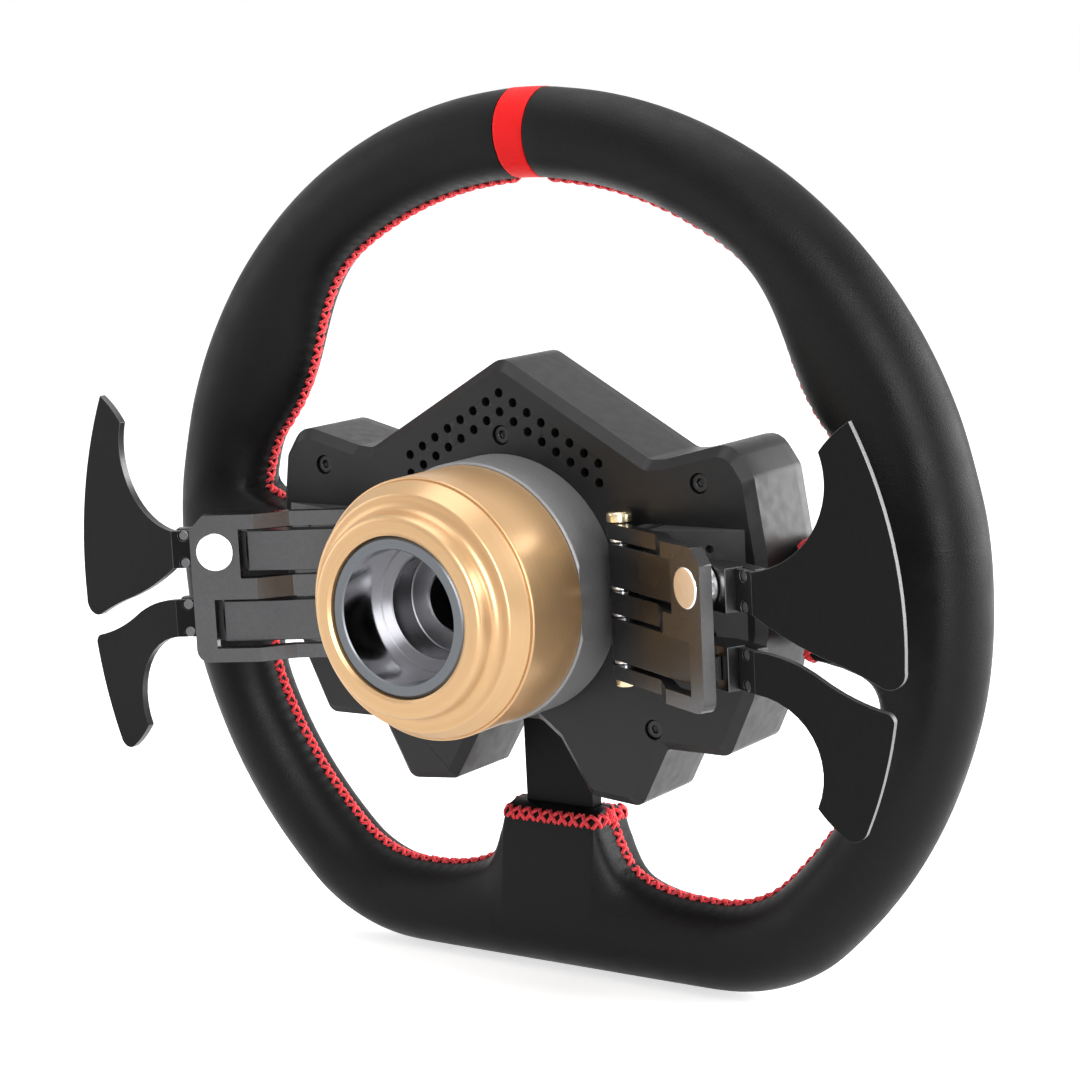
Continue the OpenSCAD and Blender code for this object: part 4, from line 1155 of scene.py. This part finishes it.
@dataclass
class Hub:
    """The quick-release hub: adapter, socket and the gold twist sleeve."""

    body: str = "wheel_body"
    sleeve_body: str = "release_sleeve"
    sleeve_r: float = 39.4
    sleeve_y: float = 18.3
    sleeve_len: float = 38.7
    socket_r: float = 24.0
    sleeve_gap: float = 0.25
    inner_r: float = 32.5
    shoulder: float = 13.0
    race_r: float = 24.1
    race: float = 1.8
    race_back: float = 7.0
    flange_r: float = 31.0
    flange_t: float = 4.0
    recess: float = 1.0
    mouth_r: float = 20.0
    mouth_len: float = 18.0
    mid_r: float = 16.0
    mid_len: float = 9.9
    deep_r: float = 9.5
    lip_bevel: float = 0.9
    mouth_bevel: float = 0.4
    outer_break: float = 0.4
    inner_break: float = 0.3
    foot_gap: float = 0.1
    foot_round: float = 0.4
    barrel_back: float = 14.4
    barrel_round: float = 0.6
    ring_back: float = 13.4
    ring_in: float = 0.9
    ring_round: float = 0.5
    bevel_back: float = 8.6
    bevel_in: float = 3.3
    bevel_round: float = 1.6
    cove_back: float = 4.0
    cove_r: float = 3.0
    end_round: float = 2.0
    collar_edge: float = 0.7
    sleeve_steps: int = 160
    lip_out: float = 1.0
    bore_from: float = 0.35
    zone_slack: float = 0.5

    def race_cut(self, wall: float, depth: float) -> list[Pair]:
        """Return the corners of the ball race in a wall, from its back to its front."""
        y = self.sleeve_y + self.sleeve_len - self.race_back
        bed = self.race_r + depth
        return [(wall, y - self.race), (bed, y - self.race),
                (bed, y + self.race), (wall, y + self.race)]

    def sleeve(self) -> None:
        """Turn the gold sleeve: foot, barrel, ring, bevel, cove, end and ball race.

        Past the bevel the radii are counted in fifteenths of the wall at the end.
        """
        r, end = self.sleeve_r, self.sleeve_y + self.sleeve_len
        foot = self.sleeve_y + self.foot_gap
        bore = self.socket_r + self.sleeve_gap
        part = (r - bore) / 15
        profile = [(self.inner_r, foot), (r - self.foot_round - 0.1, foot)]
        profile += arc(r - self.foot_round, foot + self.foot_round, self.foot_round, -60, 0, 3)
        profile += arc(r - self.barrel_round, end - self.barrel_back, self.barrel_round, 0, 80, 4)
        profile += [(r - self.ring_in, end - self.ring_back - self.ring_round)]
        profile += arc(r - self.ring_in - self.ring_round, end - self.ring_back, self.ring_round,
                       10, 55, 4)
        profile += arc(r - self.bevel_in - self.bevel_round, end - self.bevel_back,
                       self.bevel_round, 40, 88, 6)
        profile += [(r - 5.3 * part, end - self.cove_back - self.cove_r)]
        for c, s in (cos_sin(7.5 * k) for k in range(12)):
            profile += [(r - (5.6 + 3.2 * s) * part, end - self.cove_back - self.cove_r * c)]
        profile += [(r - 9 * part, end - self.end_round + 0.2)]
        profile += arc(r - 11 * part, end - self.end_round, self.end_round, 8, 90, 9)
        profile += [(bore + self.lip_bevel, end), (bore, end - 0.7)]
        profile += reversed(self.race_cut(bore, self.race))
        profile += [(bore, end - self.shoulder), (self.inner_r, end - self.shoulder)]
        piece = lathe("gold_sleeve", profile, self.sleeve_steps)
        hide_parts("release_sleeve")
        settle(piece, self.sleeve_body, "sleeve_gold", SLEEVE_GOLD)

    def socket(self) -> None:
        """Turn the socket with its stepped bore, its lip in a darker finish."""
        end = self.sleeve_y + self.sleeve_len - self.recess
        mouth = end - self.mouth_bevel
        step = mouth - self.mouth_len
        deep = step - self.mid_len
        r = self.socket_r
        foot = self.sleeve_y + self.flange_t
        out, into = self.outer_break, self.inner_break
        profile = [(self.deep_r, self.sleeve_y), (self.flange_r, self.sleeve_y),
                   (self.flange_r, foot), (r, foot), *self.race_cut(r, -self.race),
                   (r, end - self.lip_bevel), (r - self.lip_bevel, end),
                   (self.mouth_r + self.mouth_bevel, end), (self.mouth_r, mouth),
                   (self.mouth_r, step + into), (self.mouth_r - into, step),
                   (self.mid_r + out, step), (self.mid_r, step - out),
                   (self.mid_r, deep + into), (self.mid_r - into, deep),
                   (self.deep_r + out, deep), (self.deep_r, deep - out)]
        piece = lathe("hub_socket", profile)
        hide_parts("qr_socket")
        self.paint_socket(piece, end, step, deep)
        settle(piece, self.body, "socket_grey", SOCKET_LIP, SOCKET_BORE, SOCKET_STEP,
               SOCKET_DEEP)

    def paint_socket(self, piece: Piece, end: float, step: float, deep: float) -> None:
        """Number the socket's faces by zone: lip, bore, step faces and the deep part.

        Args:
            piece: The socket.
            end: Place of its lip along the axis.
            step: Place of the first step.
            deep: Place of the second step.
        """
        for face in piece.data.polygons:
            middle = face.center / MM
            radius, y = math.hypot(middle.x, middle.z), middle.y + DATUM
            at_lip = y > end - self.lip_bevel and radius > self.mouth_r - HAIR
            at_deep = abs(y - deep) < self.zone_slack and radius > self.deep_r + self.inner_break
            if at_lip or radius > self.mouth_r + self.lip_out:
                face.material_index = Zone.LIP.value
            elif y > step + self.bore_from:
                face.material_index = Zone.BORE.value
            elif y > step - self.zone_slack or at_deep:
                face.material_index = Zone.STEP.value
            else:
                face.material_index = Zone.DEEP.value

    def build(self) -> None:
        """Make the hub and dress what the sleeve hides."""
        remade("hub_adapter", "hub_collar", self.body, "adapter_grey", self.collar_edge,
               ADAPTER_GREY)
        self.socket()
        self.sleeve()
        dress("socket_screws", BLACK_STEEL)
        dress("retaining_ring", SPRING_STEEL)
        dress("lock_balls", WASHER_STEEL)
        dress("sleeve_spring", SPRING_STEEL)


# -------- paddles


@dataclass
class PaddleSet:
    """One side's hinged paddles and the bracket that carries them."""

    side: Side
    body: str = "wheel_body"
    arm_edge: float = 0.4
    blade_edge: float = 0.38
    head_edge: float = 0.5
    ramp_turn: float = 12.0
    wall_lean: float = 0.25
    hinge_parts: tuple[tuple[str, str, str, float, Finish, int, float], ...] = (
        ("bracket", "comb_bracket", "bracket_grey", 0.45, BRACKET_GREY, 2, 12.0),
        ("base_block", "hinge_block", "block_black", 0.5, BLOCK_PLASTIC, 2, 30.0),
        ("hinge_pin", "pin_with_heads", "pin_brass", 0.5, PIN_BRASS, 3, 30.0),
        ("hinge_washers", "pin_washers", "steel_bright", 0.2, WASHER_STEEL, 2, 30.0),
        ("stop_magnet", "magnet_disc", "magnet_bright", 0.5, MAGNET_PLATE, 3, 30.0))

    def node(self, name: str) -> str:
        """Return a node's name on this side."""
        return f"{self.side.word}_{name}"

    def hinge(self) -> None:
        """Make the bracket, its block, the pin, its washers and the stop magnet."""
        for node, name, slot, width, finish, rounds, degrees in self.hinge_parts:
            remade(self.node(node), self.node(name), self.body, slot, width, finish,
                   rounds=rounds, degrees=degrees)
        dress(self.node("bracket_screws"), BLACK_STEEL)
        dress(self.node("paddle_sensors"), BLOCK_PLASTIC)

    def bare_walls(self, blade: Piece) -> None:
        """Give a blade's cut walls the finish of its broken edges: bare laser-cut sheet, made
        lighter as a painted highlight.
        """
        flat = max(blade.data.polygons, key=lambda face: face.area).normal.copy()
        for face in blade.data.polygons:
            if abs(face.normal.dot(flat)) < self.wall_lean:
                face.material_index = 1

    def paddle(self, level: Level) -> None:
        """Make one paddle: arm, blade and the screws that join them.

        Args:
            level: Which of the two paddles.
        """
        word = level.value
        body = self.node(f"{word}_paddle")
        remade(self.node(f"{word}_arm"), self.node(f"{word}_paddle_arm"), body, "arm_grey",
               self.arm_edge, ARM_GREY, degrees=self.ramp_turn)
        # The blade's second finish makes its cut walls and broken edges lighter: bare sheet plus
        # painted highlight.
        blade = remade(self.node(f"{word}_blade"), self.node(f"{word}_paddle_blade"), body,
                       "blade_black", self.blade_edge, BLADE_BLACK, BLADE_CUT_AND_HIGHLIGHT)
        self.bare_walls(blade)
        remade(self.node(f"{word}_blade_screws"), self.node(f"{word}_stem_screws"), body,
               "screw_black", self.head_edge, SCREW_STEEL, rounds=4)

    def build(self) -> None:
        """Make the whole side."""
        self.hinge()
        for level in Level:
            self.paddle(level)


@dataclass
class Controls:
    """One side's buttons and knob on the front plate."""

    side: Side
    cap_edge: float = 0.6
    caps: tuple[tuple[str, str, Finish], ...] = (
        ("ear_button", "button_red", BUTTON_RED), ("inner_button", "button_grey", BUTTON_GREY),
        ("lower_button", "button_grey", BUTTON_GREY), ("knob", "knob_black", KNOB_RUBBER))

    def build(self) -> None:
        """Round the caps and dress them."""
        for name, slot, finish in self.caps:
            body = f"{self.side.word}_{name}"
            remade(body, f"{body}_cap", body, slot, self.cap_edge, finish, rounds=3)


def main() -> None:
    """Build the studio and every sub-assembly."""
    logging.basicConfig(level=logging.INFO, format="%(name)s: %(message)s")
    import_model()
    Studio().build()
    Rim().build()
    Housing().build()
    Hub().build()
    for side in Side:
        PaddleSet(side).build()
        Controls(side).build()


if __name__ == "__main__":
    main()
